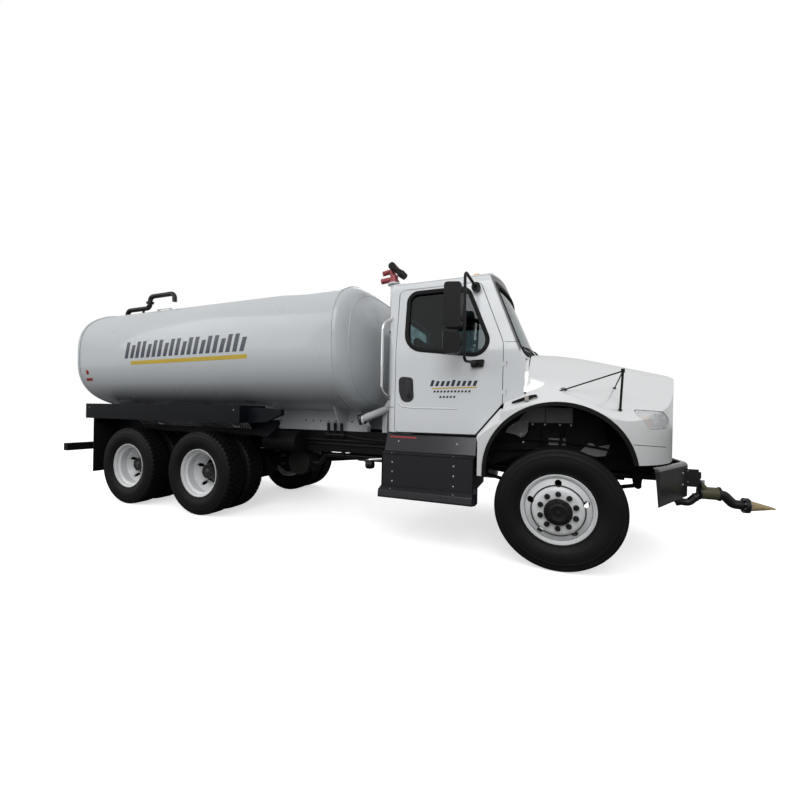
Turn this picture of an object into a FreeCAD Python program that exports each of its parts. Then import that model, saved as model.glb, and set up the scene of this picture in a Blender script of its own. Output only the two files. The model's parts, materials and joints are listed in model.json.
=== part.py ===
"""Six-wheel water tanker truck: conventional cab, tilting hood and fenders, white oval tank on a tandem chassis.

Sizes are millimetres. +X points forward, +Y to the truck's left and +Z up. Every station along the truck is
measured from the front axle, and export() moves the whole truck so that the origin is on the ground in the
middle of its length.
"""
import FreeCAD
import Part
import math
import os

V = FreeCAD.Vector

# Overall reach from the front axle, forward to the spray nozzle's tip and back to the bumper bar's rear face
NOSE_REACH = 1715.0
TAIL_REACH = 6880.0
FRONT_AXLE_X = (TAIL_REACH - NOSE_REACH) / 2

# Axles
FORWARD_DRIVE_X = -4070.0
TANDEM_SPREAD = 1320.0
AFT_DRIVE_X = FORWARD_DRIVE_X - TANDEM_SPREAD
DRIVE_AXLES_X = (FORWARD_DRIVE_X, AFT_DRIVE_X)

# Tyres and disc wheels, 22.5 inch
FIT_GAP = 0.3
TYRE_R = 525.0
TYRE_W = 279.0
BEAD_R = 287.0
BEAD_GAP = 0.5
RIM_FLANGE_R = 298.0
RIM_W = 210.0
RIM_WALL = 8.0
RIM_WELL_R = 255.0
DISC_OUTSET = 168.0
DISC_T = 11.0
HUB_R = 105.0
SPINDLE_R = 29.0
AXLE_TUBE_R = 58.0
NUT_CIRCLE_R = 142.9
NUT_COUNT = 10
NUT_R = 17.0
NUT_L = 24.0
HAND_HOLES = 5
HAND_HOLE_CIRCLE_R = 205.0
HAND_HOLE_R = 26.0
DRUM_R = 210.0
AXLE_Z = TYRE_R
FRONT_WHEEL_Y = 1025.0
OUTER_DUAL_Y = 1090.0
DUAL_FACE_Y = OUTER_DUAL_Y - DISC_OUTSET - DISC_T / 2
INNER_DUAL_Y = DUAL_FACE_Y - DISC_T / 2 - DISC_OUTSET

# Frame
RAIL_Y = 432.0
RAIL_TOP = 1080.0
RAIL_DEPTH = 270.0
RAIL_FLANGE = 89.0
RAIL_T = 9.0
RAIL_FRONT = 860.0
RAIL_REAR = -6640.0
RAIL_BOTTOM = RAIL_TOP - RAIL_DEPTH

# Steering
KINGPIN_Y = 862.0
KINGPIN_R = 24.0
EYE_R = 42.0
STEER_ARM = 170.0
TIE_STUD_R = 12.0

# Cab
CAB_BACK = -1625.0
CAB_FLOOR = 1120.0
CAB_HALF = 1030.0
CAB_ROOF = 2795.0
CAB_WALL = 60.0
COWL_FRONT = -285.0
COWL_TOP = 1850.0
SCREEN_BASE_X = -150.0
SCREEN_SIDE_X = -300.0
SCREEN_RAKE = 0.42
GLASS_T = 6.0
GLASS_INSET = 20.0
PANEL_GAP = 6.0
DOOR_REAR = -1530.0
DOOR_FRONT = -478.0
DOOR_TOP = 2600.0
DOOR_HINGE_Y = CAB_HALF - 6.0
DOOR_HINGE_X = DOOR_FRONT + 26.0
DOOR_OPEN = 65.0
HINGES_Z = (1530.0, 1790.0)
HINGE_R = 7.5
HINGE_PIN_R = 4.0
HINGE_HALF = 22.0
HINGE_END = 36.0
TOE_HALF = 640.0
TOE_TOP = 1560.0

# Hood and fenders
HOOD_WALL = 14.0
HOOD_REAR = -243.0
BROW_R = 230.0
BROW_SLOPE = 0.3
BROW_TOP = 1722.0
FENDER_HALF = 1170.0
HOOD_BOTTOM = 935.0
FENDER_REAR = -672.0
HOOD_PIVOT_X = 925.0
HOOD_PIVOT_Z = 1000.0
HOOD_PIN_R = 14.0
FENDER_LOW = 765.0
ARCH_X = -20.0
ARCH_Z = 830.0
ARCH_R = 610.0
ARCH_LIP = 34.0
LINER_T = 6.0
LINER_IN = 730.0
LINER_SPLIT = 1036.0
LINER_AHEAD = 150.0
HOOD_SIDE_GAP = 11.0
DOOR_ROOM = 16.0
CORNER_SEAM_X = -300.0
SWING_SPARE = 22.0
NOSE_X = 1015.0

# Bumper
BUMPER_FRONT = 1095.0
BUMPER_TOP = 925.0
BUMPER_LOW = 625.0
BUMPER_T = 10.0

# Water tank
TANK_FRONT = -2180.0
TANK_REAR = -6460.0
TANK_HALF = 1250.0
TANK_RISE = 756.0
TANK_POWER = 2.9
TANK_MID = 2080.0
TANK_DISH = 260.0
TANK_BOTTOM = TANK_MID - TANK_RISE
TANK_TOP = TANK_MID + TANK_RISE

# Manhole on the tank's top
MANHOLE_X = -6000.0
MANHOLE_R = 255.0
MANHOLE_WALL = 8.0
MANHOLE_TOP = TANK_TOP + 95.0
MANHOLE_DEPTH = 420.0
LID_R = MANHOLE_R + 22.0
LID_T = 9.0
LID_HINGE_Y = LID_R + 20.0
LID_HINGE_Z = MANHOLE_TOP + FIT_GAP + LID_T / 2
LID_PIN_R = 6.0
COLLAR_R = 95.0
COLLAR_TOP = TANK_TOP + 50.0
COLLAR_DEPTH = 165.0
TANK_BAND = 30.0

# Pipes
FILL_PIPE_R = 36.5
FILL_PIPE_X = -6790.0
FILL_PIPE_Y = -318.0
FILL_RUN_Z = 3003.0
FILL_RISE_X = -6228.0
FILL_TOP_Z = 3190.0
SPOUT_X = -5650.0
SPOUT_END_Z = 3055.0
RISER_R = 44.5
MONITOR_X = -1850.0
MONITOR_Y = -300.0
MONITOR_Z = 2915.0

# Side trays above the drive wheels
TRAY_REAR = -6262.0
TRAY_FRONT = -3382.0
TRAY_OUT = 1250.0
TRAY_IN = 800.0
TRAY_LOW = 1165.0
TRAY_TOP = 1375.0
TRAY_T = 6.0

# Bumper bar behind
REAR_BAR_TOP = 765.0
REAR_BAR_LOW = 655.0
REAR_BAR_DEPTH = 100.0

NODES = {}


def node(name, *solids):
    """Files solids under a node's name."""
    NODES.setdefault(name, []).extend(solids)


def box(x0, x1, y0, y1, z0, z1):
    return Part.makeBox(x1 - x0, y1 - y0, z1 - z0, V(x0, y0, z0))


def rod(start, end, radius):
    """Round bar between two points."""
    a, b = V(*start), V(*end)
    return Part.makeCylinder(radius, (b - a).Length, a, b - a)


def cone(start, end, r0, r1):
    a, b = V(*start), V(*end)
    return Part.makeCone(r0, r1, (b - a).Length, a, b - a)


def corner_arc(before, at, after, radius):
    """Start, middle and end of the arc that rounds a corner, as plane points."""
    ux, uy = before[0] - at[0], before[1] - at[1]
    wx, wy = after[0] - at[0], after[1] - at[1]
    lu, lw = math.hypot(ux, uy), math.hypot(wx, wy)
    ux, uy, wx, wy = ux / lu, uy / lu, wx / lw, wy / lw
    half = math.acos(max(-1.0, min(1.0, ux * wx + uy * wy))) / 2
    reach = radius / math.tan(half)
    bx, by = ux + wx, uy + wy
    lb = math.hypot(bx, by)
    centre = (at[0] + bx / lb * radius / math.sin(half), at[1] + by / lb * radius / math.sin(half))
    middle = (centre[0] - bx / lb * radius, centre[1] - by / lb * radius)
    return (at[0] + ux * reach, at[1] + uy * reach), middle, (at[0] + wx * reach, at[1] + wy * reach)


def rounded_wire(corners, place):
    """Closed wire through corners (u, v) or (u, v, radius); place turns (u, v) into a point in space."""
    pts = [tuple(c) + (0.0,) * (3 - len(c)) for c in corners]
    spans = []
    for i, (u, v, r) in enumerate(pts):
        before, after = pts[i - 1], pts[(i + 1) % len(pts)]
        if r > 0:
            spans.append(corner_arc(before[:2], (u, v), after[:2], r))
        else:
            spans.append(((u, v), None, (u, v)))
    edges = []
    for i, (start, middle, end) in enumerate(spans):
        if middle is not None:
            edges.append(Part.Arc(place(*start), place(*middle), place(*end)).toShape())
        following = spans[(i + 1) % len(spans)][0]
        if math.hypot(following[0] - end[0], following[1] - end[1]) > 1e-4:
            edges.append(Part.makeLine(place(*end), place(*following)))
    return Part.Wire(edges)


def side_face(corners, y=0.0):
    """Face seen from the side, corners as (x, z)."""
    return Part.Face(rounded_wire(corners, lambda u, v: V(u, y, v)))


def end_face(corners, x=0.0):
    """Face seen from the end, corners as (y, z)."""
    return Part.Face(rounded_wire(corners, lambda u, v: V(x, u, v)))


def top_face(corners, z=0.0):
    """Face seen from above, corners as (x, y)."""
    return Part.Face(rounded_wire(corners, lambda u, v: V(u, v, z)))


def side_slab(corners, y0, y1):
    return side_face(corners, y0).extrude(V(0, y1 - y0, 0))


def end_slab(corners, x0, x1):
    return end_face(corners, x0).extrude(V(x1 - x0, 0, 0))


def top_slab(corners, z0, z1):
    return top_face(corners, z0).extrude(V(0, 0, z1 - z0))


def shrunk(face, inset):
    """The face with its outline moved inwards, or outwards where inset is negative."""
    return face if inset == 0 else face.makeOffset2D(-inset)


def mirrored(shape):
    """The same piece on the truck's other side."""
    return shape.mirror(V(0, 0, 0), V(0, 1, 0))


def both_sides(shape):
    return [shape, mirrored(shape)]


def fused(shapes):
    """One solid from pieces that touch."""
    whole = shapes[0].multiFuse(shapes[1:]).removeSplitter()
    return whole.Solids[0] if len(whole.Solids) == 1 else whole


def pipe(points, radius, bend):
    """Round pipe through points, its corners bent to a radius."""
    pts = [V(*p) for p in points]
    edges, last = [], pts[0]
    for i in range(1, len(pts) - 1):
        a, b, c = pts[i - 1], pts[i], pts[i + 1]
        u, w = (a - b).normalize(), (c - b).normalize()
        half = u.getAngle(w) / 2
        reach = bend / math.tan(half)
        middle_way = (u + w).normalize()
        centre = b + middle_way * (bend / math.sin(half))
        start, end = b + u * reach, b + w * reach
        edges.append(Part.makeLine(last, start))
        edges.append(Part.Arc(start, centre - middle_way * bend, end).toShape())
        last = end
    edges.append(Part.makeLine(last, pts[-1]))
    ring = Part.Wire(Part.makeCircle(radius, pts[0], pts[1] - pts[0]))
    return Part.Wire(edges).makePipeShell([ring], True, False)


def revolved(profile, centre, axis=V(0, 1, 0)):
    """Solid of revolution about a line along Y: profile corners are (radius, offset along the axis, corner radius)."""
    cx, cy, cz = centre
    wire = rounded_wire(profile, lambda r, w: V(cx, cy + w, cz + r))
    return Part.Face(wire).revolve(V(cx, cy, cz), axis, 360)


# Wheels

def tyre(x, y):
    """Tyre centred on (x, y): flat tread, rounded shoulders, bulging walls, beads inside the rim's flanges."""
    half = TYRE_W / 2
    bead = RIM_W / 2 - BEAD_GAP
    profile = [
        (BEAD_R, -bead + 8), (BEAD_R + 12, -bead), ((BEAD_R + TYRE_R) / 2 - 10, -half - 9, 90),
        (TYRE_R - 34, -half + 9, 60), (TYRE_R - 4, -half + 34, 16), (TYRE_R, 0), (TYRE_R - 4, half - 34, 16),
        (TYRE_R - 34, half - 9, 60), ((BEAD_R + TYRE_R) / 2 - 10, half + 9, 90), (BEAD_R + 12, bead), (BEAD_R, bead - 8),
    ]
    return revolved(profile, (x, y, AXLE_Z))


def rim(x, y, side):
    """Rim and disc: the disc stands DISC_OUTSET from the rim's middle, towards side (+1 or -1 along Y)."""
    seat = BEAD_R - BEAD_GAP
    half = RIM_W / 2
    outer = [
        (RIM_FLANGE_R, -half - 11), (RIM_FLANGE_R, -half), (seat, -half + 5), (seat - 6, -half + 34),
        (RIM_WELL_R, -half + 52, 10), (RIM_WELL_R, half - 52, 10), (seat - 6, half - 34), (seat, half - 5),
        (RIM_FLANGE_R, half), (RIM_FLANGE_R, half + 11),
    ]
    inner = [(r - RIM_WALL, w) for r, w in [(p[0], p[1]) for p in reversed(outer)][1:-1]]
    inner = [(RIM_FLANGE_R - RIM_WALL, half + 11)] + inner + [(RIM_FLANGE_R - RIM_WALL, -half - 11)]
    barrel = revolved(outer + inner, (x, y, AXLE_Z))
    edge_r = RIM_WELL_R - RIM_WALL + 2
    disc_profile = [
        (edge_r, side * 30), (edge_r, side * 52), (edge_r - 34, side * 112, 30), (HAND_HOLE_CIRCLE_R - 28, side * DISC_OUTSET, 14),
        (HUB_R, side * DISC_OUTSET), (HUB_R, side * (DISC_OUTSET - DISC_T)), (HAND_HOLE_CIRCLE_R - 34, side * (DISC_OUTSET - DISC_T), 14),
        (edge_r - 46, side * 104, 30),
    ]
    disc = revolved(disc_profile, (x, y, AXLE_Z))
    holes = []
    for k in range(HAND_HOLES):
        turn = 2 * math.pi * k / HAND_HOLES + math.pi / 2
        at = (x + HAND_HOLE_CIRCLE_R * math.cos(turn), AXLE_Z + HAND_HOLE_CIRCLE_R * math.sin(turn))
        holes.append(rod((at[0], y + side * 60, at[1]), (at[0], y + side * 200, at[1]), HAND_HOLE_R))
    disc = disc.cut(holes[0].multiFuse(holes[1:]))
    return fused([barrel, disc])


def nut_ring(x, y, side):
    """Wheel nuts round the hub, standing from the disc's face."""
    nuts = []
    for k in range(NUT_COUNT):
        turn = 2 * math.pi * (k + 0.5) / NUT_COUNT
        at = (x + NUT_CIRCLE_R * math.cos(turn), AXLE_Z + NUT_CIRCLE_R * math.sin(turn))
        nuts.append(rod((at[0], y, at[1]), (at[0], y + side * NUT_L, at[1]), NUT_R))
    return nuts


def front_wheel(side):
    """Front tyre, and its wheel with hub and nuts."""
    y = side * FRONT_WHEEL_Y
    face = y + side * DISC_OUTSET
    hub = revolved([
        (SPINDLE_R + FIT_GAP, -side * 150), (DRUM_R, -side * 150), (DRUM_R, -side * 20), (HUB_R + 45, -side * (DISC_T + 8)), (HUB_R + 45, -side * DISC_T),
        (HUB_R, -side * DISC_T), (HUB_R, side * 30), (78, side * 42, 4), (72, side * 70, 6), (0, side * 74), (0, -side * 40), (SPINDLE_R + FIT_GAP, -side * 40),
    ], (0, face, AXLE_Z))
    return tyre(0, y), fused([rim(0, y, side), hub] + nut_ring(0, face, side))


def drive_wheels(x, side):
    """Twin tyres, and their two wheels with hub, drum and nuts."""
    outer, inner, face = side * OUTER_DUAL_Y, side * INNER_DUAL_Y, side * DUAL_FACE_Y
    half_t = DISC_T
    hub = revolved([
        (AXLE_TUBE_R + FIT_GAP, -side * 290), (DRUM_R, -side * 290), (DRUM_R, -side * 60), (HUB_R + 40, -side * 30), (HUB_R + 40, -side * half_t),
        (HUB_R, -side * half_t), (HUB_R, side * 40), (HUB_R - 14, side * 52), (HUB_R - 14, side * 128), (88, side * 134), (88, side * 146),
        (40, side * 146), (0, side * 158), (0, side * 20), (AXLE_TUBE_R + FIT_GAP, side * 20),
    ], (x, face, AXLE_Z))
    wheels = fused([rim(x, outer, -side), rim(x, inner, side), hub] + nut_ring(x, face + side * DISC_T, side))
    return [tyre(x, outer), tyre(x, inner)], wheels


def build_wheels():
    for side, hand in ((1, "left"), (-1, "right")):
        rubber, metal = front_wheel(side)
        node("tyre_front_" + hand, rubber)
        node("wheel_front_" + hand, metal)
        for x, place in ((FORWARD_DRIVE_X, "mid"), (AFT_DRIVE_X, "rear")):
            rubber, metal = drive_wheels(x, side)
            node("tyres_%s_%s" % (place, hand), *rubber)
            node("wheels_%s_%s" % (place, hand), metal)


# Frame and running gear

def rail(side):
    """Channel rail, open towards the truck's middle."""
    out, inn = side * RAIL_Y, side * (RAIL_Y - RAIL_FLANGE)
    web = side * (RAIL_Y - RAIL_T)
    return end_slab([
        (out, RAIL_BOTTOM), (out, RAIL_TOP), (inn, RAIL_TOP), (inn, RAIL_TOP - RAIL_T), (web, RAIL_TOP - RAIL_T),
        (web, RAIL_BOTTOM + RAIL_T), (inn, RAIL_BOTTOM + RAIL_T), (inn, RAIL_BOTTOM),
    ], RAIL_REAR, RAIL_FRONT)


CROSSMEMBERS_X = (780.0, -2050.0, -2900.0, -3700.0, -4730.0, -5900.0, -6600.0)


def crossmember(x):
    """Channel between the rails' webs."""
    half = RAIL_Y - RAIL_T
    low, high = RAIL_BOTTOM + RAIL_T + 10, RAIL_TOP - RAIL_T - 10
    return side_slab([
        (x - 35, low), (x + 35, low), (x + 35, low + 8), (x - 27, low + 8), (x - 27, high - 8), (x + 35, high - 8), (x + 35, high), (x - 35, high),
    ], -half, half)


def build_frame():
    node("frame_rails", rail(1), rail(-1))
    node("crossmembers", *[crossmember(x) for x in CROSSMEMBERS_X])


SPRING_Y = 425.0
SHAFT_Y = 60.0
SHAFT_Z = AXLE_Z + 62.0
PINION_NOSE = 330.0
THROUGH_SEAT = 240.0
SPRING_HALF_W = 40.0
FRONT_SPRING_HALF = 700.0
BEAM_TOP = 470.0


def front_axle():
    """Forged beam, dropped in the middle, with spring seats and round kingpin eyes."""
    half = KINGPIN_Y
    web = end_slab([
        (-half, AXLE_Z + 62), (-half, AXLE_Z - 62), (-half + 90, AXLE_Z - 62), (-620, BEAM_TOP - 105), (620, BEAM_TOP - 105),
        (half - 90, AXLE_Z - 62), (half, AXLE_Z - 62), (half, AXLE_Z + 62), (half - 110, AXLE_Z + 62), (560, BEAM_TOP),
        (-560, BEAM_TOP), (-half + 110, AXLE_Z + 62),
    ], -40, 40)
    eyes = [rod((0, s * KINGPIN_Y, AXLE_Z - 62), (0, s * KINGPIN_Y, AXLE_Z + 62), EYE_R) for s in (1, -1)]
    seats = [box(-60, 60, s * SPRING_Y - 48, s * SPRING_Y + 48, BEAM_TOP - 25, BEAM_TOP) for s in (1, -1)]
    beam = fused([web] + eyes + seats)
    for side in (1, -1):
        beam = beam.cut(rod((0, side * KINGPIN_Y, AXLE_Z - 100), (0, side * KINGPIN_Y, AXLE_Z + 100), KINGPIN_R + FIT_GAP))
    return beam


def front_spring():
    """Leaf pack with a hanger in front and a shackle behind."""
    leaves = []
    low = BEAM_TOP + FIT_GAP
    for k, share in enumerate((0.45, 0.72, 1.0)):
        reach = FRONT_SPRING_HALF * share
        rise = 150 * share * share
        z = low + 24 * k
        leaves.append(side_slab([(-reach, z + rise), (0, z), (reach, z + rise), (reach, z + rise + 24), (0, z + 24), (-reach, z + rise + 24)],
                                SPRING_Y - SPRING_HALF_W, SPRING_Y + SPRING_HALF_W))
    pack = leaves[0].multiFuse(leaves[1:])
    end_z = low + 48 + 150
    eye = [rod((x, SPRING_Y - SPRING_HALF_W, end_z + 12), (x, SPRING_Y + SPRING_HALF_W, end_z + 12), 30) for x in (-FRONT_SPRING_HALF, FRONT_SPRING_HALF)]
    hanger = side_slab([(FRONT_SPRING_HALF - 50, RAIL_BOTTOM), (FRONT_SPRING_HALF - 20, end_z - 10), (FRONT_SPRING_HALF + 30, end_z - 10), (FRONT_SPRING_HALF + 50, RAIL_BOTTOM)],
                       SPRING_Y - SPRING_HALF_W, SPRING_Y + 7)
    shackle = side_slab([(-FRONT_SPRING_HALF - 30, end_z - 12), (-FRONT_SPRING_HALF + 30, end_z - 12), (-FRONT_SPRING_HALF + 20, RAIL_BOTTOM), (-FRONT_SPRING_HALF - 60, RAIL_BOTTOM)],
                        SPRING_Y - SPRING_HALF_W, SPRING_Y + 7)
    return fused([pack, eye[0], eye[1], hanger, shackle])


def knuckle(side):
    """Yoke round the axle's eye, kingpin, spindle, steering arm and backing plate."""
    y = side * KINGPIN_Y
    pin = rod((0, y, AXLE_Z - 110), (0, y, AXLE_Z + 110), KINGPIN_R)
    top = box(-50, 50, min(y - 45, y + side * 100), max(y + 45, y + side * 100), AXLE_Z + 62 + 5, AXLE_Z + 112)
    low = box(-50, 50, min(y - 45, y + side * 100), max(y + 45, y + side * 100), AXLE_Z - 112, AXLE_Z - 62 - 5)
    inner = y + side * 47
    outer = y + side * 100
    back = box(-50, 50, min(inner, outer), max(inner, outer), AXLE_Z - 112, AXLE_Z + 112)
    spindle = rod((0, outer, AXLE_Z), (0, side * (FRONT_WHEEL_Y + DISC_OUTSET - 45), AXLE_Z), SPINDLE_R)
    arm_z = AXLE_Z - 100
    arm = side_slab([(-STEER_ARM - 26, arm_z - 12), (-20, arm_z - 12), (-20, arm_z + 12), (-STEER_ARM - 26, arm_z + 12)], y - 26, y + 26)
    stud = rod((-STEER_ARM, y, arm_z - 50), (-STEER_ARM, y, arm_z), TIE_STUD_R)
    return fused([pin, top, low, back, spindle, arm, stud])


def tie_rod():
    """Rod between the steering arms, with a socket at each end."""
    z = AXLE_Z - 100 - 34
    bar = rod((-STEER_ARM, -KINGPIN_Y, z), (-STEER_ARM, KINGPIN_Y, z), 19)
    ends = [rod((-STEER_ARM, s * KINGPIN_Y, z - 21), (-STEER_ARM, s * KINGPIN_Y, z + 21), 31) for s in (1, -1)]
    holes = [rod((-STEER_ARM, s * KINGPIN_Y, z - 30), (-STEER_ARM, s * KINGPIN_Y, z + 30), TIE_STUD_R + FIT_GAP) for s in (1, -1)]
    return fused([bar] + ends).cut(holes[0].fuse(holes[1]))


def drive_axle(x):
    """Axle housing with its bowl, its pinion nose in front and the through shaft's seat behind."""
    reach = DUAL_FACE_Y - 310
    beam = box(x - 60, x + 60, -reach, reach, AXLE_Z - 62, AXLE_Z + 62)
    bowl = revolved([(0, -150), (215, -120, 60), (215, 120, 60), (0, 150)], (x, 0, AXLE_Z))
    nose = rod((x, SHAFT_Y, SHAFT_Z), (x + PINION_NOSE, SHAFT_Y, SHAFT_Z), 95)
    seat = rod((x - THROUGH_SEAT, SHAFT_Y, SHAFT_Z), (x, SHAFT_Y, SHAFT_Z), 60)
    tubes = rod((x, -DUAL_FACE_Y + 40, AXLE_Z), (x, DUAL_FACE_Y - 40, AXLE_Z), AXLE_TUBE_R)
    return fused([beam, bowl, nose, seat, tubes])


def rear_suspension():
    """Bogie: leaf pack each side on a centre saddle, ends on the axles, and hangers down from the rails."""
    mid = (FORWARD_DRIVE_X + AFT_DRIVE_X) / 2
    half = TANDEM_SPREAD / 2
    y0, y1 = RAIL_Y - 82, RAIL_Y + 8
    low = AXLE_Z + 62 + FIT_GAP
    leaves = side_slab([
        (mid - half - 90, low), (mid - half + 90, low), (mid - half + 150, low + 30), (mid - 180, low + 60), (mid + 180, low + 60),
        (mid + half - 150, low + 30), (mid + half - 90, low), (mid + half + 90, low), (mid + half + 90, low + 36), (mid + half - 130, low + 66),
        (mid + 170, low + 150), (mid - 170, low + 150), (mid - half + 130, low + 66), (mid - half - 90, low + 36),
    ], y0, y1)
    saddle = side_slab([(mid - 150, low + 140), (mid + 150, low + 140), (mid + 260, RAIL_BOTTOM), (mid - 260, RAIL_BOTTOM)], y0, y1)
    return fused([leaves, saddle])


def build_running_gear():
    node("front_axle", front_axle())
    node("leaf_springs", *both_sides(front_spring()))
    node("knuckle_left", knuckle(1))
    node("knuckle_right", knuckle(-1))
    node("tie_rod", tie_rod())
    node("drive_axles", *[drive_axle(x) for x in DRIVE_AXLES_X])
    node("leaf_springs", *both_sides(rear_suspension()))


# Engine and drive line

ENGINE_X0 = -200.0
ENGINE_X1 = 620.0
GEARBOX_Z = 850.0
GEARBOX_END = -1150.0


def build_drive_line():
    engine = side_slab([(ENGINE_X0, 700), (ENGINE_X1, 700), (ENGINE_X1, 1480, 60), (ENGINE_X0, 1560, 60)], -290, 290)
    gearbox = cone((ENGINE_X0 + 10, 0, GEARBOX_Z), (GEARBOX_END, 0, GEARBOX_Z), 245, 120)
    feet = [box(x, x + 110, 280, RAIL_Y - RAIL_T, 890, 990) for x in (ENGINE_X0 + 30, ENGINE_X1 - 170)]
    feet += [mirrored(f) for f in feet]
    node("engine_block", fused([engine, gearbox] + feet))
    node("radiator", box(760, 850, -RAIL_Y + 20, RAIL_Y - 20, RAIL_TOP, 1560))
    start = (GEARBOX_END - FIT_GAP, 0, GEARBOX_Z)
    first = (GEARBOX_END - 110, 0, GEARBOX_Z)
    nose = FORWARD_DRIVE_X + PINION_NOSE
    last = (nose + 110, SHAFT_Y, SHAFT_Z)
    stop = (nose + FIT_GAP, SHAFT_Y, SHAFT_Z)
    balls = [Part.makeSphere(56, V(*p)) for p in (first, last)]
    node("drive_shafts", fused([rod(start, first, 42), rod(first, last, 50), rod(last, stop, 42)] + balls),
         rod((AFT_DRIVE_X + PINION_NOSE + FIT_GAP, SHAFT_Y, SHAFT_Z), (FORWARD_DRIVE_X - THROUGH_SEAT - FIT_GAP, SHAFT_Y, SHAFT_Z), 46))


# Cab

def screen_contour(outward):
    """Plan of the cab at cowl height with the bowed windscreen in front, moved outward."""
    rear = CAB_BACK - 400
    half = CAB_HALF + 60
    front = Part.Arc(V(SCREEN_SIDE_X - 40 + outward, -half, 0), V(SCREEN_BASE_X + outward, 0, 0), V(SCREEN_SIDE_X - 40 + outward, half, 0)).toShape()
    edges = [front, Part.makeLine(V(SCREEN_SIDE_X - 40 + outward, half, 0), V(rear, half, 0)), Part.makeLine(V(rear, half, 0), V(rear, -half, 0)),
             Part.makeLine(V(rear, -half, 0), V(SCREEN_SIDE_X - 40 + outward, -half, 0))]
    return Part.Face(Part.Wire(edges))


def raked_block(outward):
    """Everything behind the windscreen's surface, which leans back by SCREEN_RAKE."""
    below, above = 900.0, 1100.0
    face = screen_contour(outward)
    face.translate(V(SCREEN_RAKE * below, 0, COWL_TOP - below))
    return face.extrude(V(-SCREEN_RAKE * (below + above), 0, below + above))


def cab_section(inset):
    """Everything within the cab's cross-section, its faces moved inwards by inset."""
    section = end_face([
        (-CAB_HALF, 1000), (-CAB_HALF, 1930, 900), (-920, CAB_ROOF - 88, 150), (0, CAB_ROOF + 10, 3000),
        (920, CAB_ROOF - 88, 150), (CAB_HALF, 1930, 900), (CAB_HALF, 1000),
    ], CAB_BACK - 50)
    return shrunk(section, inset).extrude(V(3000, 0, 0))


def footwell(inset):
    """The cab's nose between the wheel arches, which carries the firewall down to the floor."""
    profile = side_face([
        (-760, CAB_FLOOR), (COWL_FRONT - 60, CAB_FLOOR, 40), (COWL_FRONT, 1210), (COWL_FRONT, TOE_TOP), (-760, TOE_TOP),
    ], -TOE_HALF + inset)
    return shrunk(profile, inset).extrude(V(0, 2 * (TOE_HALF - inset), 0))


def cab_form(inset):
    """The cab's outer form with all its faces moved inwards by inset."""
    profile = side_face([
        (CAB_BACK, CAB_FLOOR, 45), (-722, CAB_FLOOR), (-468, 1425), (COWL_FRONT, 1500), (COWL_FRONT, COWL_TOP),
        (100, COWL_TOP), (100, 2900), (CAB_BACK, 2900),
    ], -CAB_HALF - 50)
    plan = top_face([(CAB_BACK, -CAB_HALF, 90), (400, -CAB_HALF), (400, CAB_HALF), (CAB_BACK, CAB_HALF, 90)], 900)
    whole = shrunk(profile, inset).extrude(V(0, 2 * CAB_HALF + 100, 0))
    whole = whole.common(cab_section(inset)).common(shrunk(plan, inset).extrude(V(0, 0, 2200)))
    return whole.common(raked_block(-inset)).fuse(footwell(inset)).Solids[0]


DOOR_OUTLINE = [
    (DOOR_REAR, 1130, 30), (-716, 1130, 20), (DOOR_FRONT, 1420, 40), (DOOR_FRONT, 1990, 260), (-706, DOOR_TOP, 70), (DOOR_REAR, DOOR_TOP, 60),
]
DOOR_WINDOW = [(-1414, 2548, 90), (-838, 2542, 90), (-562, 1868, 120), (-1414, 1990, 170)]
SCREEN_OUTLINE = [(-950, 1872, 90), (-850, 2640, 90), (850, 2640, 90), (950, 1872, 90)]
REAR_WINDOW = [(-470, 2010, 60), (-470, 2440, 60), (470, 2440, 60), (470, 2010, 60)]


def door_prism(outline, grow, side):
    """The outline through one side of the cab."""
    face = shrunk(side_face(outline, 0), -grow)
    y0, y1 = (600, 1300) if side > 0 else (-1300, -600)
    face.translate(V(0, y0, 0))
    return face.extrude(V(0, y1 - y0, 0))


def door_swing(side):
    """Upright cylinder about the door's hinge that its rear edge stays within."""
    x, y = DOOR_HINGE_X, side * DOOR_HINGE_Y
    return rod((x, y, CAB_FLOOR - 50), (x, y, CAB_ROOF + 50), DOOR_HINGE_X - DOOR_REAR)


def door_hinges(side):
    """Leaves with barrels for the door, knuckles with pins for the pillar, and the barrels' room in its skin."""
    x, y = DOOR_HINGE_X, side * DOOR_HINGE_Y
    leaves, knuckles, room = [], [], []
    for z in HINGES_Z:
        low, high = z - HINGE_HALF, z + HINGE_HALF
        barrel = rod((x, y, low), (x, y, high), HINGE_R)
        proud = y + side * HINGE_R
        foot = box(DOOR_FRONT - 30, DOOR_FRONT + 1, *sorted((y - side * 14, proud)), low, high)
        bridge = box(DOOR_FRONT, x, *sorted((y, proud)), low, high)
        pin_room = rod((x, y, low - 1), (x, y, high + 1), HINGE_PIN_R + FIT_GAP)
        leaves.append(fused([barrel, foot, bridge]).cut(pin_room))
        knuckles.append(rod((x, y, z - HINGE_END), (x, y, z + HINGE_END), HINGE_PIN_R))
        for way in (-1, 1):
            start, end = z + way * (HINGE_HALF + FIT_GAP), z + way * HINGE_END
            knuckles.append(rod((x, y, start), (x, y, end), HINGE_R))
        across = sorted((y - side * 12, y + side * 40))
        room.append(box(x - 30, x + 12, *across, low - FIT_GAP, high + FIT_GAP))
    return leaves, knuckles, room


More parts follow.
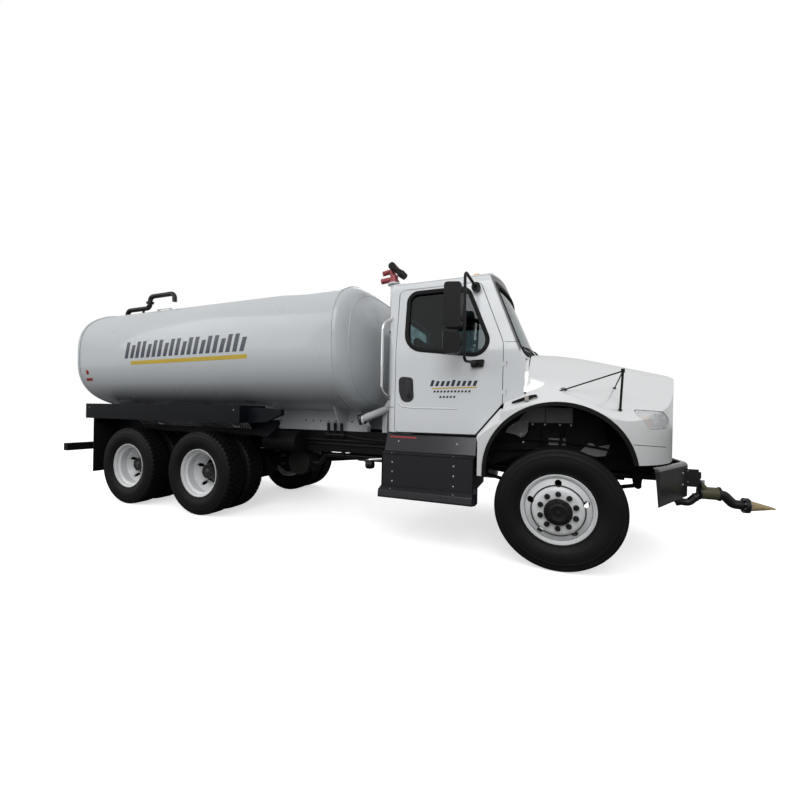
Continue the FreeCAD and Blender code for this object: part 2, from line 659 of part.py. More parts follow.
def build_cab():
    outer = cab_form(0)
    shell = outer.cut(cab_form(CAB_WALL))
    glass_layer = cab_form(GLASS_INSET).cut(cab_form(GLASS_INSET + GLASS_T))
    for side, hand in ((1, "left"), (-1, "right")):
        door = outer.common(door_prism(DOOR_OUTLINE, 0, side)).cut(cab_section(CAB_WALL)).common(door_swing(side))
        leaves, knuckles, room = door_hinges(side)
        node("door_" + hand, fused([door.cut(door_prism(DOOR_WINDOW, 0, side)).Solids[0]] + leaves))
        node("door_glass_" + hand, glass_layer.common(door_prism(DOOR_WINDOW, -FIT_GAP, side)).Solids[0])
        shell = shell.cut(door_prism(DOOR_OUTLINE, PANEL_GAP, side).cut(cab_section(CAB_WALL + PANEL_GAP)))
        shell = fused([shell.cut(room[0].fuse(room[1]))] + knuckles)
    shell = shell.cut(end_slab(SCREEN_OUTLINE, -900, 100)).cut(end_slab(REAR_WINDOW, CAB_BACK - 100, CAB_BACK + 200))
    node("cab_shell", max(shell.Solids, key=lambda part: part.Volume))
    pane = raked_block(-GLASS_INSET).cut(raked_block(-GLASS_INSET - GLASS_T))
    screen = pane.common(shrunk(end_face(SCREEN_OUTLINE, -900), FIT_GAP).extrude(V(1000, 0, 0)))
    rear = shrunk(end_face(REAR_WINDOW, CAB_BACK + GLASS_INSET), FIT_GAP).extrude(V(GLASS_T, 0, 0))
    node("cab_glass", screen.Solids[0], rear)
    build_interior()
    build_mirrors()
    pads = [box(x, x + 110, s * 388 - 44, s * 388 + 44, RAIL_TOP, CAB_FLOOR) for s in (1, -1) for x in (-1540, -860)]
    node("frame_brackets", *pads)
    lamp_seat = outer.copy()
    lamp_seat.translate(V(0, 0, FIT_GAP))
    lamps = [rod((-800, y, 2700), (-800, y, 2818 - abs(y) * 0.04), 38).cut(lamp_seat) for y in (-600, -180, 0, 180, 600)]
    node("roof_lamps", *lamps)


def build_interior():
    floor = CAB_FLOOR + CAB_WALL
    seats = []
    for y in (-480.0, 480.0):
        base = box(-1420, -1000, y - 200, y + 200, floor, floor + 288)
        cushion = side_slab([(-1450, floor + 270), (-930, floor + 290, 40), (-930, floor + 400, 50), (-1450, floor + 380)], y - 250, y + 250)
        back = side_slab([(-1390, floor + 370), (-1300, floor + 380), (-1380, floor + 1000, 30), (-1480, floor + 1000, 30)], y - 240, y + 240)
        seats.append(fused([base, cushion, back]))
    node("seats", *seats)
    cowl = COWL_FRONT - CAB_WALL
    dash = side_slab([(cowl, 1600), (-600, 1560), (-680, 1700, 40), (-640, 1850, 60), (-460, 1840), (cowl, 1775)], -930, 930)
    column = rod((-600, 480, 1700), (-860, 480, 1860), 28)
    wheel = Part.makeTorus(220, 15, V(-870, 480, 1866), V(-260, 0, 160))
    spokes = rod((-770, 480, 2030), (-970, 480, 1703), 12)
    cross = rod((-870, 262, 1866), (-870, 698, 1866), 12)
    node("dashboard", fused([dash, column, wheel, spokes, cross]))


def build_mirrors():
    """Looped arms on each door with a tall mirror and a small round-backed one."""
    for side, hand in ((1, "left"), (-1, "right")):
        y_arm, y_door = side * 1330, side * CAB_HALF
        loop = pipe([(-740, side * 975, 2540), (-780, y_arm, 2580), (-775, y_arm, 1790), (-700, side * 1052, 1800)], 13, 45)
        low = side_slab([(-760, 1760, 12), (-650, 1770, 12), (-640, 1835, 12), (-770, 1830, 12)], side * (CAB_HALF + FIT_GAP), side * 1062)
        high = rod((-740, side * 1010, 2540), (-740, side * 962, 2540), 42)
        head = side_slab([(-965, 2100, 30), (-812, 2085, 30), (-812, 2490, 30), (-965, 2505, 30)], side * 1235, side * 1345)
        small = side_slab([(-965, 1860, 40), (-812, 1860, 40), (-812, 2050, 30), (-965, 2050, 30)], side * 1245, side * 1345)
        clamps = [box(-830, -770, min(side * 1300, side * 1338), max(side * 1300, side * 1338), z, z + 34) for z in (2150, 2400, 1930)]
        node("mirror_" + hand, fused([loop, low, high, head, small] + clamps))


# Hood

HOOD_SECTIONS = (
    (-760.0, ((0, 1955), (420, 1942), (760, 1890), (950, 1805), (1030, 1670), (1046, 1530), (1120, 1455), (1190, 1380), (1260, 1270))),
    (-270.0, ((0, 1955), (420, 1942), (760, 1890), (950, 1805), (1030, 1670), (1046, 1530), (1120, 1455), (1190, 1380), (1260, 1270))),
    (100.0, ((0, 1942), (400, 1915), (640, 1845), (800, 1735), (905, 1625), (1010, 1550), (1120, 1480), (1190, 1390), (1260, 1280))),
    (450.0, ((0, 1868), (380, 1835), (560, 1768), (680, 1665), (770, 1575), (900, 1495), (1060, 1395), (1170, 1280), (1260, 1170))),
    (800.0, ((0, 1775), (360, 1745), (510, 1680), (600, 1590), (690, 1500), (810, 1420), (950, 1335), (1110, 1220), (1240, 1110))),
    (1100.0, ((0, 1685), (340, 1655), (470, 1590), (550, 1510), (630, 1420), (740, 1335), (880, 1250), (1060, 1150), (1220, 1050))),
)
NOSE_PLAN = ((330, 1170), (520, 1135), (665, 1035), (785, 885), (880, 705), (950, 500), (1000, 250), (1015, 0))


def inward(points, inset):
    """Open line of plane points moved to its right-hand side by inset."""
    moved = []
    for i, p in enumerate(points):
        a, b = points[max(i - 1, 0)], points[min(i + 1, len(points) - 1)]
        dx, dy = b[0] - a[0], b[1] - a[1]
        length = math.hypot(dx, dy)
        moved.append((p[0] + dy / length * inset, p[1] - dx / length * inset))
    return moved


def spline(points):
    curve = Part.BSplineCurve()
    curve.interpolate(points)
    return curve.toShape()


def hood_crown(inset):
    """The hood's top and fender shoulders, lofted along the truck, solid down to well below its lower edge."""
    wires = []
    floor = 500.0
    for x, half in HOOD_SECTIONS:
        line = [(-y, z) for y, z in reversed(half)] + list(half[1:])
        line = inward(line, inset)
        points = [V(x, y, z) for y, z in line]
        first, last = points[0], points[-1]
        edges = [spline(points), Part.makeLine(last, V(x, last.y, floor)), Part.makeLine(V(x, last.y, floor), V(x, first.y, floor)),
                 Part.makeLine(V(x, first.y, floor), first)]
        wires.append(Part.Wire(edges))
    return Part.makeLoft(wires, True, False)


def nose_block(inset):
    """Plan of hood and fenders with the rounded nose, as a tall block."""
    half = [(x, y) for x, y in NOSE_PLAN]
    line = [(x, y) for x, y in half] + [(x, -y) for x, y in reversed(half[:-1])]
    line = inward(line, inset)
    line[0] = (line[0][0], FENDER_HALF - inset)
    line[-1] = (line[-1][0], -FENDER_HALF + inset)
    rear = FENDER_REAR - 200
    points = [V(x, y, 400) for x, y in line]
    edges = [spline(points), Part.makeLine(points[-1], V(rear, -FENDER_HALF + inset, 400)), Part.makeLine(V(rear, -FENDER_HALF + inset, 400), V(rear, FENDER_HALF - inset, 400)),
             Part.makeLine(V(rear, FENDER_HALF - inset, 400), points[0])]
    return Part.Face(Part.Wire(edges)).extrude(V(0, 0, 2000))


def door_sweep(grow, side):
    """Room that a door's slanting front edge needs as it opens, widened by grow."""
    lean = [(-716.0, 1130.0), (DOOR_FRONT, 1420.0), (DOOR_FRONT, 1700.0)]
    reach = [(DOOR_HINGE_X - x - grow * 1.2, z) for x, z in lean]
    reach[0] = (reach[0][0] + 0.8 * (20.0 + grow), 1130.0 - 20.0 - grow)
    line = [V(DOOR_HINGE_X - max(r, 4.0), side * DOOR_HINGE_Y, z) for r, z in reach]
    line += [V(DOOR_HINGE_X - 420.0, side * DOOR_HINGE_Y, 1700.0), V(DOOR_HINGE_X - 420.0, side * DOOR_HINGE_Y, line[0].z)]
    face = Part.Face(Part.makePolygon(line + [line[0]]))
    return face.revolve(V(DOOR_HINGE_X, side * DOOR_HINGE_Y, 0), V(0, 0, -side), DOOR_OPEN + SWING_SPARE)


def brow(inset):
    """Side profile of the hood's top and the rounded brow over the grille."""
    back, drop = -1200.0, 300.0
    profile = side_face([
        (back, drop), (back, BROW_TOP + BROW_SLOPE * (NOSE_X - back)), (NOSE_X, BROW_TOP, BROW_R), (NOSE_X, drop),
    ], -1400)
    return shrunk(profile, inset).extrude(V(0, 2800, 0))


def hood_form(inset):
    """Hood and fenders as one block, its outer faces moved inwards by inset."""
    form = hood_crown(inset).common(nose_block(inset)).common(brow(inset))
    for side in (1, -1):
        form = form.cut(door_sweep(DOOR_ROOM + inset, side))
    return form.Solids[0]


HOOD_SIDE = [
    (HOOD_REAR, 2200), (HOOD_REAR, 1850), (HOOD_REAR - 28, 1512), (-452, 1432), (-690, 1140), (FENDER_REAR, 1070),
    (FENDER_REAR, FENDER_LOW), (-600, FENDER_LOW), (-400, HOOD_BOTTOM), (1300, HOOD_BOTTOM), (1300, 2200),
]
GRILLE_OUTLINE = [(-330, 1060, 50), (-400, 1560, 60), (400, 1560, 60), (330, 1060, 50)]


def arch_block(radius):
    """Wheel arch: a round crown with straight legs below."""
    crown = rod((ARCH_X, -1400, ARCH_Z), (ARCH_X, 1400, ARCH_Z), radius)
    legs = box(ARCH_X - radius, ARCH_X + radius, -1400, 1400, 300, ARCH_Z)
    return crown.fuse(legs)


def lamp_prism(grow, side, depth0=0.0, depth1=900.0):
    """Headlamp outline pushed through the fender's corner, square to the corner."""
    outline = [(-224, 20, 40), (-195, 88, 45), (60, 74, 120), (212, 10, 60), (214, -66, 36), (-140, -74, 60)]
    way = V(math.cos(math.radians(38)), side * math.sin(math.radians(38)), 0)
    across = V(-way.y, way.x, 0) * side
    origin = V(740, side * 925, 1298) - way * 300
    face = Part.Face(rounded_wire(outline, lambda u, v: origin - across * u + V(0, 0, v)))
    face = shrunk(face, -grow)
    face.translate(way * depth0)
    return face.extrude(way * (depth1 - depth0))


def arch_ring(outer, inner):
    """Arch band between two radii, from the hood's lower edge in front to the fender's foot behind."""
    room = box(-1000, ARCH_X, -1300, 1300, FENDER_LOW, 1500).fuse(box(ARCH_X, 700, -1300, 1300, HOOD_BOTTOM, 1500))
    return arch_block(outer).cut(arch_block(inner)).common(room)


def arch_liner(side):
    """Fixed splash liner behind and over the wheel, inboard of the hood's fender, on an arm from the rail."""
    y0, y1 = sorted((side * LINER_IN, side * LINER_SPLIT))
    room = box(-1000, ARCH_X + LINER_AHEAD, y0, y1, FENDER_LOW, 1600)
    curve = arch_block(ARCH_R - 2).cut(arch_block(ARCH_R - 2 - LINER_T)).common(room)
    y0, y1 = sorted((side * RAIL_Y, side * (LINER_IN + 60)))
    foot_x = ARCH_X - ARCH_R + 2
    arm = box(foot_x, foot_x + 36, y0, y1, FENDER_LOW + 80, FENDER_LOW + 140)
    return fused([curve, arm])


def hood_hinge(side):
    """Ear on the hood, and the frame's lug with its pin beside it."""
    x, z = HOOD_PIVOT_X, HOOD_PIVOT_Z
    y0, y1 = sorted((side * 404, side * 416))
    ear = box(x, 1010, y0, y1, z - 24, z + 60).fuse(rod((x, y0, z), (x, y1, z), 28)).common(hood_form(3))
    ear = ear.cut(rod((x, y0 - 5, z), (x, y1 + 5, z), HOOD_PIN_R + FIT_GAP))
    lug = box(RAIL_FRONT - 40, x, *sorted((side * 386, side * 398)), z - 25, z + 25)
    foot = box(RAIL_FRONT - 40, RAIL_FRONT - 5, *sorted((side * 386, side * (RAIL_Y - RAIL_T))), z - 25, z + 25)
    boss = rod((x, side * 386, z), (x, side * 398, z), 28)
    pin = rod((x, side * 380, z), (x, side * 422, z), HOOD_PIN_R)
    return ear, fused([lug, foot, boss, pin])


def build_hood():
    screen_room = raked_block(14).common(box(-2000, 400, -1300, 1300, COWL_TOP - 30, 3000))
    skin = hood_form(0).cut(hood_form(HOOD_WALL)).common(side_slab(HOOD_SIDE, -1400, 1400))
    skin = skin.cut(arch_block(ARCH_R)).cut(screen_room).cut(end_slab(GRILLE_OUTLINE, 700, 1300))
    beside = CAB_HALF + HOOD_SIDE_GAP
    skin = skin.cut(box(-1400, COWL_FRONT, -beside, beside, 500, 1520))
    ears = []
    for side in (1, -1):
        skin = skin.cut(lamp_prism(0, side, 150))
        skin = skin.cut(rod((DOOR_HINGE_X, side * DOOR_HINGE_Y, 1300), (DOOR_HINGE_X, side * DOOR_HINGE_Y, 1700), 42))
        ear, lug = hood_hinge(side)
        ears.append(ear)
        node("frame_brackets", lug)
    skin = skin.cut(box(CORNER_SEAM_X - FIT_GAP, CORNER_SEAM_X, -1300, 1300, 500, 1700))
    body, *corners = sorted(skin.Solids, key=lambda part: -part.Volume)[:3]
    node("hood_shell", fused([body] + ears), *corners)
    layer = hood_form(3).cut(hood_form(40))
    node("headlamps", *[layer.common(lamp_prism(-FIT_GAP, side, 150)).Solids[0] for side in (1, -1)])
    build_grille()
    lip = hood_form(-10).cut(hood_form(HOOD_WALL + 26)).common(arch_ring(ARCH_R - FIT_GAP, ARCH_R - ARCH_LIP))
    liner = hood_form(HOOD_WALL + 20).common(arch_ring(ARCH_R - FIT_GAP, ARCH_R - LINER_T))
    beside = CAB_HALF + HOOD_SIDE_GAP
    for side in (1, -1):
        half = box(-1000, 1000, *sorted((side * beside, side * 1300)), 500, 1600)
        node("fender_lips", fused([lip.common(half), liner.common(half)]))
        node("frame_brackets", arch_liner(side))
    build_fender_rods()


def build_grille():
    layer = hood_form(6).cut(hood_form(30))
    frame = layer.common(shrunk(end_face(GRILLE_OUTLINE, 700), FIT_GAP).extrude(V(600, 0, 0)))
    inner = shrunk(end_face(GRILLE_OUTLINE, 700), 26).extrude(V(600, 0, 0))
    ring = frame.cut(inner)
    bars = [frame.common(box(700, 1300, -420, 420, z, z + 22)) for z in range(1125, 1530, 62)]
    node("grille", fused([ring] + bars))


def build_fender_rods():
    for_side = []
    for side in (1, -1):
        top = (460, side * 1100, 1693)
        feet = [(448, side * 1085, 1372), (-68, side * 1050, 1512), (450, side * 765, 1572)]
        rods = [rod(feet[0], top, 9), rod(feet[1], top, 6), rod(feet[2], top, 5)]
        knob = rod((460, side * 1100, 1680), (460, side * 1100, 1712), 14)
        pads = [rod(foot, (foot[0], foot[1], foot[2] + 12), 15) for foot in feet]
        for_side.append(fused(rods + [knob] + pads).cut(hood_form(-FIT_GAP)))
    node("fender_rods", *for_side)


# Bumper and front spray head

BUMPER_PLAN = [(BUMPER_FRONT, 0), (BUMPER_FRONT, 430, 320), (700, 1162, 60), (200, 1166)]


def bumper_plan(back):
    """Plan of the swept bumper, its outer line moved back."""
    half = [(x - back, y - (back if i == 3 else back * 0.2 if i == 2 else 0), *r) for i, (x, y, *r) in enumerate(BUMPER_PLAN)]
    return top_face(half[1:] + [(x, -y, *r) for x, y, *r in reversed(half[1:])], BUMPER_LOW)


def build_bumper():
    """Swept channel with a rolled top edge and cut-back ends, on two arms from the rails."""
    height = BUMPER_TOP - BUMPER_LOW
    block = bumper_plan(0).extrude(V(0, 0, height))
    top = [e for e in block.Edges if e.BoundBox.ZMin > BUMPER_TOP - 1 and e.BoundBox.XMax > 600]
    block = block.makeFillet(28, top)
    inner = bumper_plan(BUMPER_T).extrude(V(0, 0, height - BUMPER_T))
    shelf_cut = bumper_plan(55).extrude(V(0, 0, height + 10))
    ends = side_slab([(672, BUMPER_TOP + 20), (708, BUMPER_LOW - 20), (1300, BUMPER_LOW - 20), (1300, BUMPER_TOP + 20)], -1300, 1300)
    whole = block.cut(inner).cut(shelf_cut).common(ends)
    brackets = [box(RAIL_FRONT, BUMPER_FRONT - BUMPER_T, s * 406 - 26, s * 406 + 26, BUMPER_LOW + 95, BUMPER_TOP - 65) for s in (1, -1)]
    node("front_bumper", fused([whole] + brackets))


SPRAY_Y = -340.0
SUPPLY_R = 33.0


def build_spray_head():
    y = SPRAY_Y
    feed = pipe([(940, y, 760), (990, y, 760), (1030, y, 550), (1120, y, 545), (1170, y, 600), (1240, y, 645)], SUPPLY_R, 45)
    valve = rod((1200, y, 645), (1340, y, 645), 56)
    bend = pipe([(1300, y, 645), (1375, y, 640), (1440, y, 566), (1515, y, 562)], 40, 45)
    flange = rod((1510, y, 562), (1545, y, 562), 66)
    tip = cone((1540, y, 562), (1690, y, 556), 50, 16)
    lip = box(1640, NOSE_REACH, y - 34, y + 34, 549, 563)
    actuator = rod((1145, y - 32, 790), (1225, y - 32, 690), 26)
    plate = box(BUMPER_FRONT, 1175, y - 62, y - 50, 700, 860)
    node("front_spray_head", fused([feed, valve, bend, flange, tip, lip, actuator, plate]))


# Boxes and tanks beside the frame

STEP_BOX = [
    (-480, 600), (-480, 1080), (-1000, 1110), (-1075, 930), (-1150, 914), (-1150, 596), (-1232, 566, 12),
    (-1242, 490, 18), (-1090, 484), (-1040, 600),
]


def build_side_gear():
    back, front = -1618.0, -704.0
    chest = end_slab(STEP_BOX, back, front)
    arms = [box(x, x + 70, -490, -RAIL_Y, 860, 1000) for x in (back + 90, front - 240)]
    node("side_box", fused([chest] + arms))
    tank = rod((back, 790, 735), (front, 790, 735), 285)
    straps = []
    for x in (back + 190, front - 250):
        straps.append(box(x, x + 60, RAIL_Y, 620, 500, 960))
    step = box(back + 60, front - 60, 1010, 1200, 560, 600)
    step_high = box(back + 60, front - 60, 960, 1140, 880, 915)
    node("fuel_tank", fused([tank, step, step_high] + straps))
    air = fused([rod((-3450, -640, 935), (-2950, -640, 935), 128)] + [box(x, x + 40, -560, -RAIL_Y, 870, 1000) for x in (-3350, -3090)])
    node("air_tanks", *both_sides(air))
    volute = rod((-3120, -420, 640), (-3120, -330, 640), 165)
    body = rod((-3280, -270, 640), (-2960, -270, 640), 120)
    hanger = box(-3180, -3060, -425, -350, 760, RAIL_BOTTOM)
    node("water_pump", fused([volute, body, hanger]))
    line = pipe([(-2955 + FIT_GAP, SPRAY_Y, 640), (-2840, SPRAY_Y, 640), (-2760, SPRAY_Y, 760), (940 - FIT_GAP, SPRAY_Y, 760)], SUPPLY_R, 60)
    clips = [box(x, x + 40, -385, -345, 765, RAIL_BOTTOM) for x in (-2500, -900, 300)]
    node("supply_pipe", fused([line] + clips))
    muffler = rod((-2700, 560, 700), (-1750, 560, 700), 120)
    tail = pipe([(-2690, 560, 700), (-2850, 560, 700), (-2850, 900, 640)], 50, 90)
    hangers = [box(x, x + 40, RAIL_Y, 520, 720, 930) for x in (-2500, -1950)]
    node("exhaust", fused([muffler, tail] + hangers))


# Tank

def tank_ring(x, scale):
    """The tank's squared oval at one station."""
    count = 32
    points = []
    for k in range(count):
        turn = 2 * math.pi * k / count
        c, s = math.cos(turn), math.sin(turn)
        r = (abs(c) ** TANK_POWER + abs(s) ** TANK_POWER) ** (-1 / TANK_POWER)
        points.append(V(x, TANK_HALF * r * c * scale, TANK_MID + TANK_RISE * r * s * scale))
    curve = Part.BSplineCurve()
    curve.interpolate(points, True)
    return Part.Wire(curve.toShape())


def manhole_lid():
    """Flat lid with a hinge barrel on its left and a bar handle on its right."""
    low = MANHOLE_TOP + FIT_GAP
    disc = rod((MANHOLE_X, 0, low), (MANHOLE_X, 0, low + LID_T), LID_R)
    ear = box(MANHOLE_X - 36, MANHOLE_X + 36, LID_R - 30, LID_HINGE_Y, low, low + LID_T)
    barrel = rod((MANHOLE_X - 36, LID_HINGE_Y, LID_HINGE_Z), (MANHOLE_X + 36, LID_HINGE_Y, LID_HINGE_Z), 12)
    y, top = -225.0, MANHOLE_TOP + 58
    corners = [(MANHOLE_X - 140, y, low + 4), (MANHOLE_X - 140, y, top), (MANHOLE_X + 140, y, top), (MANHOLE_X + 140, y, low + 4)]
    blocks = [box(x - 18, x + 18, y - 16, y + 16, low, top + 4) for x in (MANHOLE_X - 140, MANHOLE_X + 140)]
    lid = fused([disc, ear, barrel, pipe(corners, 8, 20)] + blocks)
    return lid.cut(rod((MANHOLE_X - 50, LID_HINGE_Y, LID_HINGE_Z), (MANHOLE_X + 50, LID_HINGE_Y, LID_HINGE_Z), LID_PIN_R + FIT_GAP))


def lid_hinge():
    """Two plates on the manhole's neck with the lid's pin between them."""
    plates = []
    for x in (MANHOLE_X - 54, MANHOLE_X + 46):
        plates.append(box(x, x + 8, MANHOLE_R - 4, LID_HINGE_Y + 12, MANHOLE_TOP - 70, MANHOLE_TOP - 6))
        plates.append(box(x, x + 8, LID_R + 6, LID_HINGE_Y + 12, MANHOLE_TOP - 70, LID_HINGE_Z + 12))
    return plates + [rod((MANHOLE_X - 54, LID_HINGE_Y, LID_HINGE_Z), (MANHOLE_X + 54, LID_HINGE_Y, LID_HINGE_Z), LID_PIN_R)]


def fill_pipe():
    """Rear fill line: up behind the tank, forward over its top on a post, and over to the spout above the collar."""
    y = FILL_PIPE_Y
    line = pipe([
        (FILL_PIPE_X, y, REAR_BAR_TOP), (FILL_PIPE_X, y, FILL_RUN_Z), (FILL_RISE_X, y, FILL_RUN_Z),
        (FILL_RISE_X, y, FILL_TOP_Z), (SPOUT_X, y, FILL_TOP_Z), (SPOUT_X, y, SPOUT_END_Z),
    ], FILL_PIPE_R, 80)
    union = rod((FILL_RISE_X, y, 3078), (FILL_RISE_X, y, 3100), 58)
    wings = box(FILL_RISE_X - 82, FILL_RISE_X + 82, y - 12, y + 12, 3080, 3098)
    return fused([line, union, wings, box(-6402, -6374, y - 14, y + 14, 2700, FILL_RUN_Z)])


def build_tank():
    shell = Part.Face(tank_ring(TANK_REAR, 1)).extrude(V(TANK_FRONT - TANK_REAR, 0, 0))
    depths = (0, 0.22, 0.44, 0.64, 0.8, 0.91, 0.98)
    parts = [shell]
    for x0, way in ((TANK_FRONT, 1), (TANK_REAR, -1)):
        rings = [tank_ring(x0 + way * TANK_DISH * d, math.sqrt(1 - d * d)) for d in depths]
        parts.append(Part.makeLoft(rings, True, False))
        parts.append(Part.Face(tank_ring(x0 - way * TANK_BAND, 1.007)).extrude(V(way * (TANK_BAND + 10), 0, 0)))
    neck = rod((MANHOLE_X, 0, TANK_MID), (MANHOLE_X, 0, MANHOLE_TOP), MANHOLE_R)
    bore = rod((MANHOLE_X, 0, MANHOLE_TOP - MANHOLE_DEPTH), (MANHOLE_X, 0, MANHOLE_TOP + 10), MANHOLE_R - MANHOLE_WALL)
    collar = rod((SPOUT_X, FILL_PIPE_Y, TANK_MID + 400), (SPOUT_X, FILL_PIPE_Y, COLLAR_TOP), COLLAR_R)
    well = rod((SPOUT_X, FILL_PIPE_Y, COLLAR_TOP - COLLAR_DEPTH), (SPOUT_X, FILL_PIPE_Y, COLLAR_TOP + 10), COLLAR_R - MANHOLE_WALL)
    whole = fused(parts + [neck, collar] + lid_hinge()).cut(bore).cut(well)
    node("water_tank", max(whole.Solids, key=lambda part: part.Volume))
    node("manhole_lid", manhole_lid())
    sills = []
    for side in (1, -1):
        sills.append(side_slab([
            (TANK_REAR + 40, RAIL_TOP), (TANK_FRONT + 60, RAIL_TOP), (TANK_FRONT + 60, RAIL_TOP + 70),
            (TANK_FRONT - 60, TANK_BOTTOM + 40), (TANK_REAR + 40, TANK_BOTTOM + 40),
        ], side * 380 - 45, side * 380 + 45))
    saddles = [end_slab([(-680, RAIL_TOP + 120), (680, RAIL_TOP + 120), (780, TANK_BOTTOM + 60), (-780, TANK_BOTTOM + 60)], x, x + 10)
               for x in (-2400, -3400, -4400, -5400, -6300)]
    cradle = fused(sills + saddles).cut(whole)
    node("tank_cradle", *cradle.Solids)
    node("fill_pipe", fill_pipe().cut(whole))
    riser = pipe([
        (-2050, -740, 1240), (MONITOR_X - 30, -400, 1360), (MONITOR_X, MONITOR_Y, 1480), (MONITOR_X, MONITOR_Y, MONITOR_Z),
    ], RISER_R, 60)
    cap = rod((-2080, -760, 1232), (-2040, -733, 1243), 62)
    flange = rod((MONITOR_X, MONITOR_Y, MONITOR_Z - 16), (MONITOR_X, MONITOR_Y, MONITOR_Z), 80)
    post = box(MONITOR_X - 70, MONITOR_X - 10, -425, -365, RAIL_TOP, 1350)
    node("monitor_riser", fused([riser, cap, flange, post]))
    build_monitor()


ELEVATION_Z = MONITOR_Z + 190.0
BARREL_DROP = 42.0


def build_monitor():
    """Two-axis monitor: swivel base, upright elbow, two gear motors behind, and the barrel with its nozzle."""
    x, y = MONITOR_X, MONITOR_Y
    base = rod((x, y, MONITOR_Z + FIT_GAP), (x, y, MONITOR_Z + 34), 62)
    neck = rod((x, y, MONITOR_Z + 30), (x, y, MONITOR_Z + 95), 48)
    motor = rod((x - 30, y, MONITOR_Z + 55), (x - 165, y - 15, MONITOR_Z + 38), 33)
    bow = pipe([(x, y, MONITOR_Z + 80), (x - 32, y, MONITOR_Z + 130), (x, y, ELEVATION_Z - 5)], 36, 40)
    elbow = rod((x, y - 40, ELEVATION_Z), (x, y + 55, ELEVATION_Z), 44)
    top_motor = rod((x - 20, y + 25, ELEVATION_Z - 20), (x - 160, y + 25, ELEVATION_Z - 42), 30)
    node("monitor_head", fused([base, neck, motor, bow, elbow, top_motor]))
    hub = rod((x, y - 40 - FIT_GAP, ELEVATION_Z), (x, y - 98, ELEVATION_Z), 44)
    drop = math.radians(BARREL_DROP)

    def along(d):
        return x + d * math.cos(drop), y - 70, ELEVATION_Z - d * math.sin(drop)

    barrel = rod(along(0), along(110), 30)
    nozzle = cone(along(100), along(160), 34, 46)
    tip = cone(along(160), along(225), 46, 38)
    node("monitor_barrel", fused([hub, barrel, nozzle, tip]))


# Trays, flaps and the rear bar

def build_rear():
    trays = []
    for side in (1, -1):
        outer, inner = side * TRAY_OUT, side * TRAY_IN
        s = lambda v: side * v
        section = [(s(TRAY_OUT), TRAY_LOW), (s(TRAY_OUT), TRAY_TOP), (s(TRAY_OUT - TRAY_T), TRAY_TOP), (s(TRAY_OUT - TRAY_T), TRAY_LOW + TRAY_T),
                   (s(TRAY_IN + TRAY_T), TRAY_LOW + TRAY_T), (s(TRAY_IN + TRAY_T), TRAY_TOP - 60), (s(TRAY_IN), TRAY_TOP - 60), (s(TRAY_IN), TRAY_LOW)]
        channel = end_slab(section, TRAY_REAR, TRAY_FRONT)
        ends = [box(x, x + TRAY_T, min(outer, inner), max(outer, inner), TRAY_LOW, TRAY_TOP) for x in (TRAY_REAR, TRAY_FRONT - TRAY_T)]
        nose = side_slab([(TRAY_FRONT, TRAY_TOP - 20), (TRAY_FRONT, TRAY_LOW), (-3120, TRAY_LOW + 20), (-2905, TRAY_LOW + 110), (-2905, TRAY_TOP - 40)], side * 1040, side * 1100)
        arms = [box(x, x + 70, min(side * RAIL_Y, inner), max(side * RAIL_Y, inner), TRAY_LOW, TRAY_LOW + 70) for x in (-6150, -4760, -3520)]
        drops = [box(x, x + 70, min(side * RAIL_Y, side * (RAIL_Y + 10)), max(side * RAIL_Y, side * (RAIL_Y + 10)), 950, TRAY_LOW + 70) for x in (-6150, -4760, -3520)]
        trays.append(fused([channel, nose] + ends + arms + drops))
    node("side_trays", *trays)
    flaps = []
    for side in (1, -1):
        y0, y1 = sorted((side * 640, side * 1220))
        flaps.append(box(-6130, -6118, y0, y1, 392, TRAY_LOW - FIT_GAP))
    node("mud_flaps", *flaps)
    bar = box(-TAIL_REACH, -TAIL_REACH + REAR_BAR_DEPTH, -1200, 1200, REAR_BAR_LOW, REAR_BAR_TOP)
    arms = [box(-TAIL_REACH + 50, -6500, s * 388 - 30, s * 388 + 30, 680, RAIL_BOTTOM) for s in (1, -1)]
    node("rear_bumper", fused([bar] + arms))


def build_trim():
    """Bowed grab handles on the cab's rear corners."""
    seat = cab_form(-FIT_GAP)
    x = CAB_BACK + 40
    for side in (1, -1):
        bow = pipe([
            (x, side * 950, 2325), (CAB_BACK - 38, side * 1075, 2235), (CAB_BACK - 42, side * 1078, 1545), (x, side * 970, 1440),
        ], 14, 90)
        node("grab_handles", bow.cut(seat))


def export():
    os.makedirs("parts", exist_ok=True)
    for name, shapes in NODES.items():
        solids = [s for shape in shapes for s in shape.Solids]
        whole = Part.makeCompound(solids) if len(solids) > 1 else solids[0]
        whole.translate(V(FRONT_AXLE_X, 0, 0))
        whole.exportStep("parts/" + name + ".step")


build_wheels()
build_frame()
build_running_gear()
build_drive_line()
build_cab()
build_hood()
build_bumper()
build_spray_head()
build_side_gear()
build_tank()
build_rear()
build_trim()
export()
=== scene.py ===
"""Looks of a six-wheel water tanker truck: paint, rubber, glass and fittings on its modelled pieces."""

import json
import logging
import math
from dataclasses import dataclass, field, replace
from enum import Enum
from typing import Callable, Iterable, Optional, Sequence

import bmesh
import bpy
from mathutils import Matrix, Vector
from mathutils.bvhtree import BVHTree

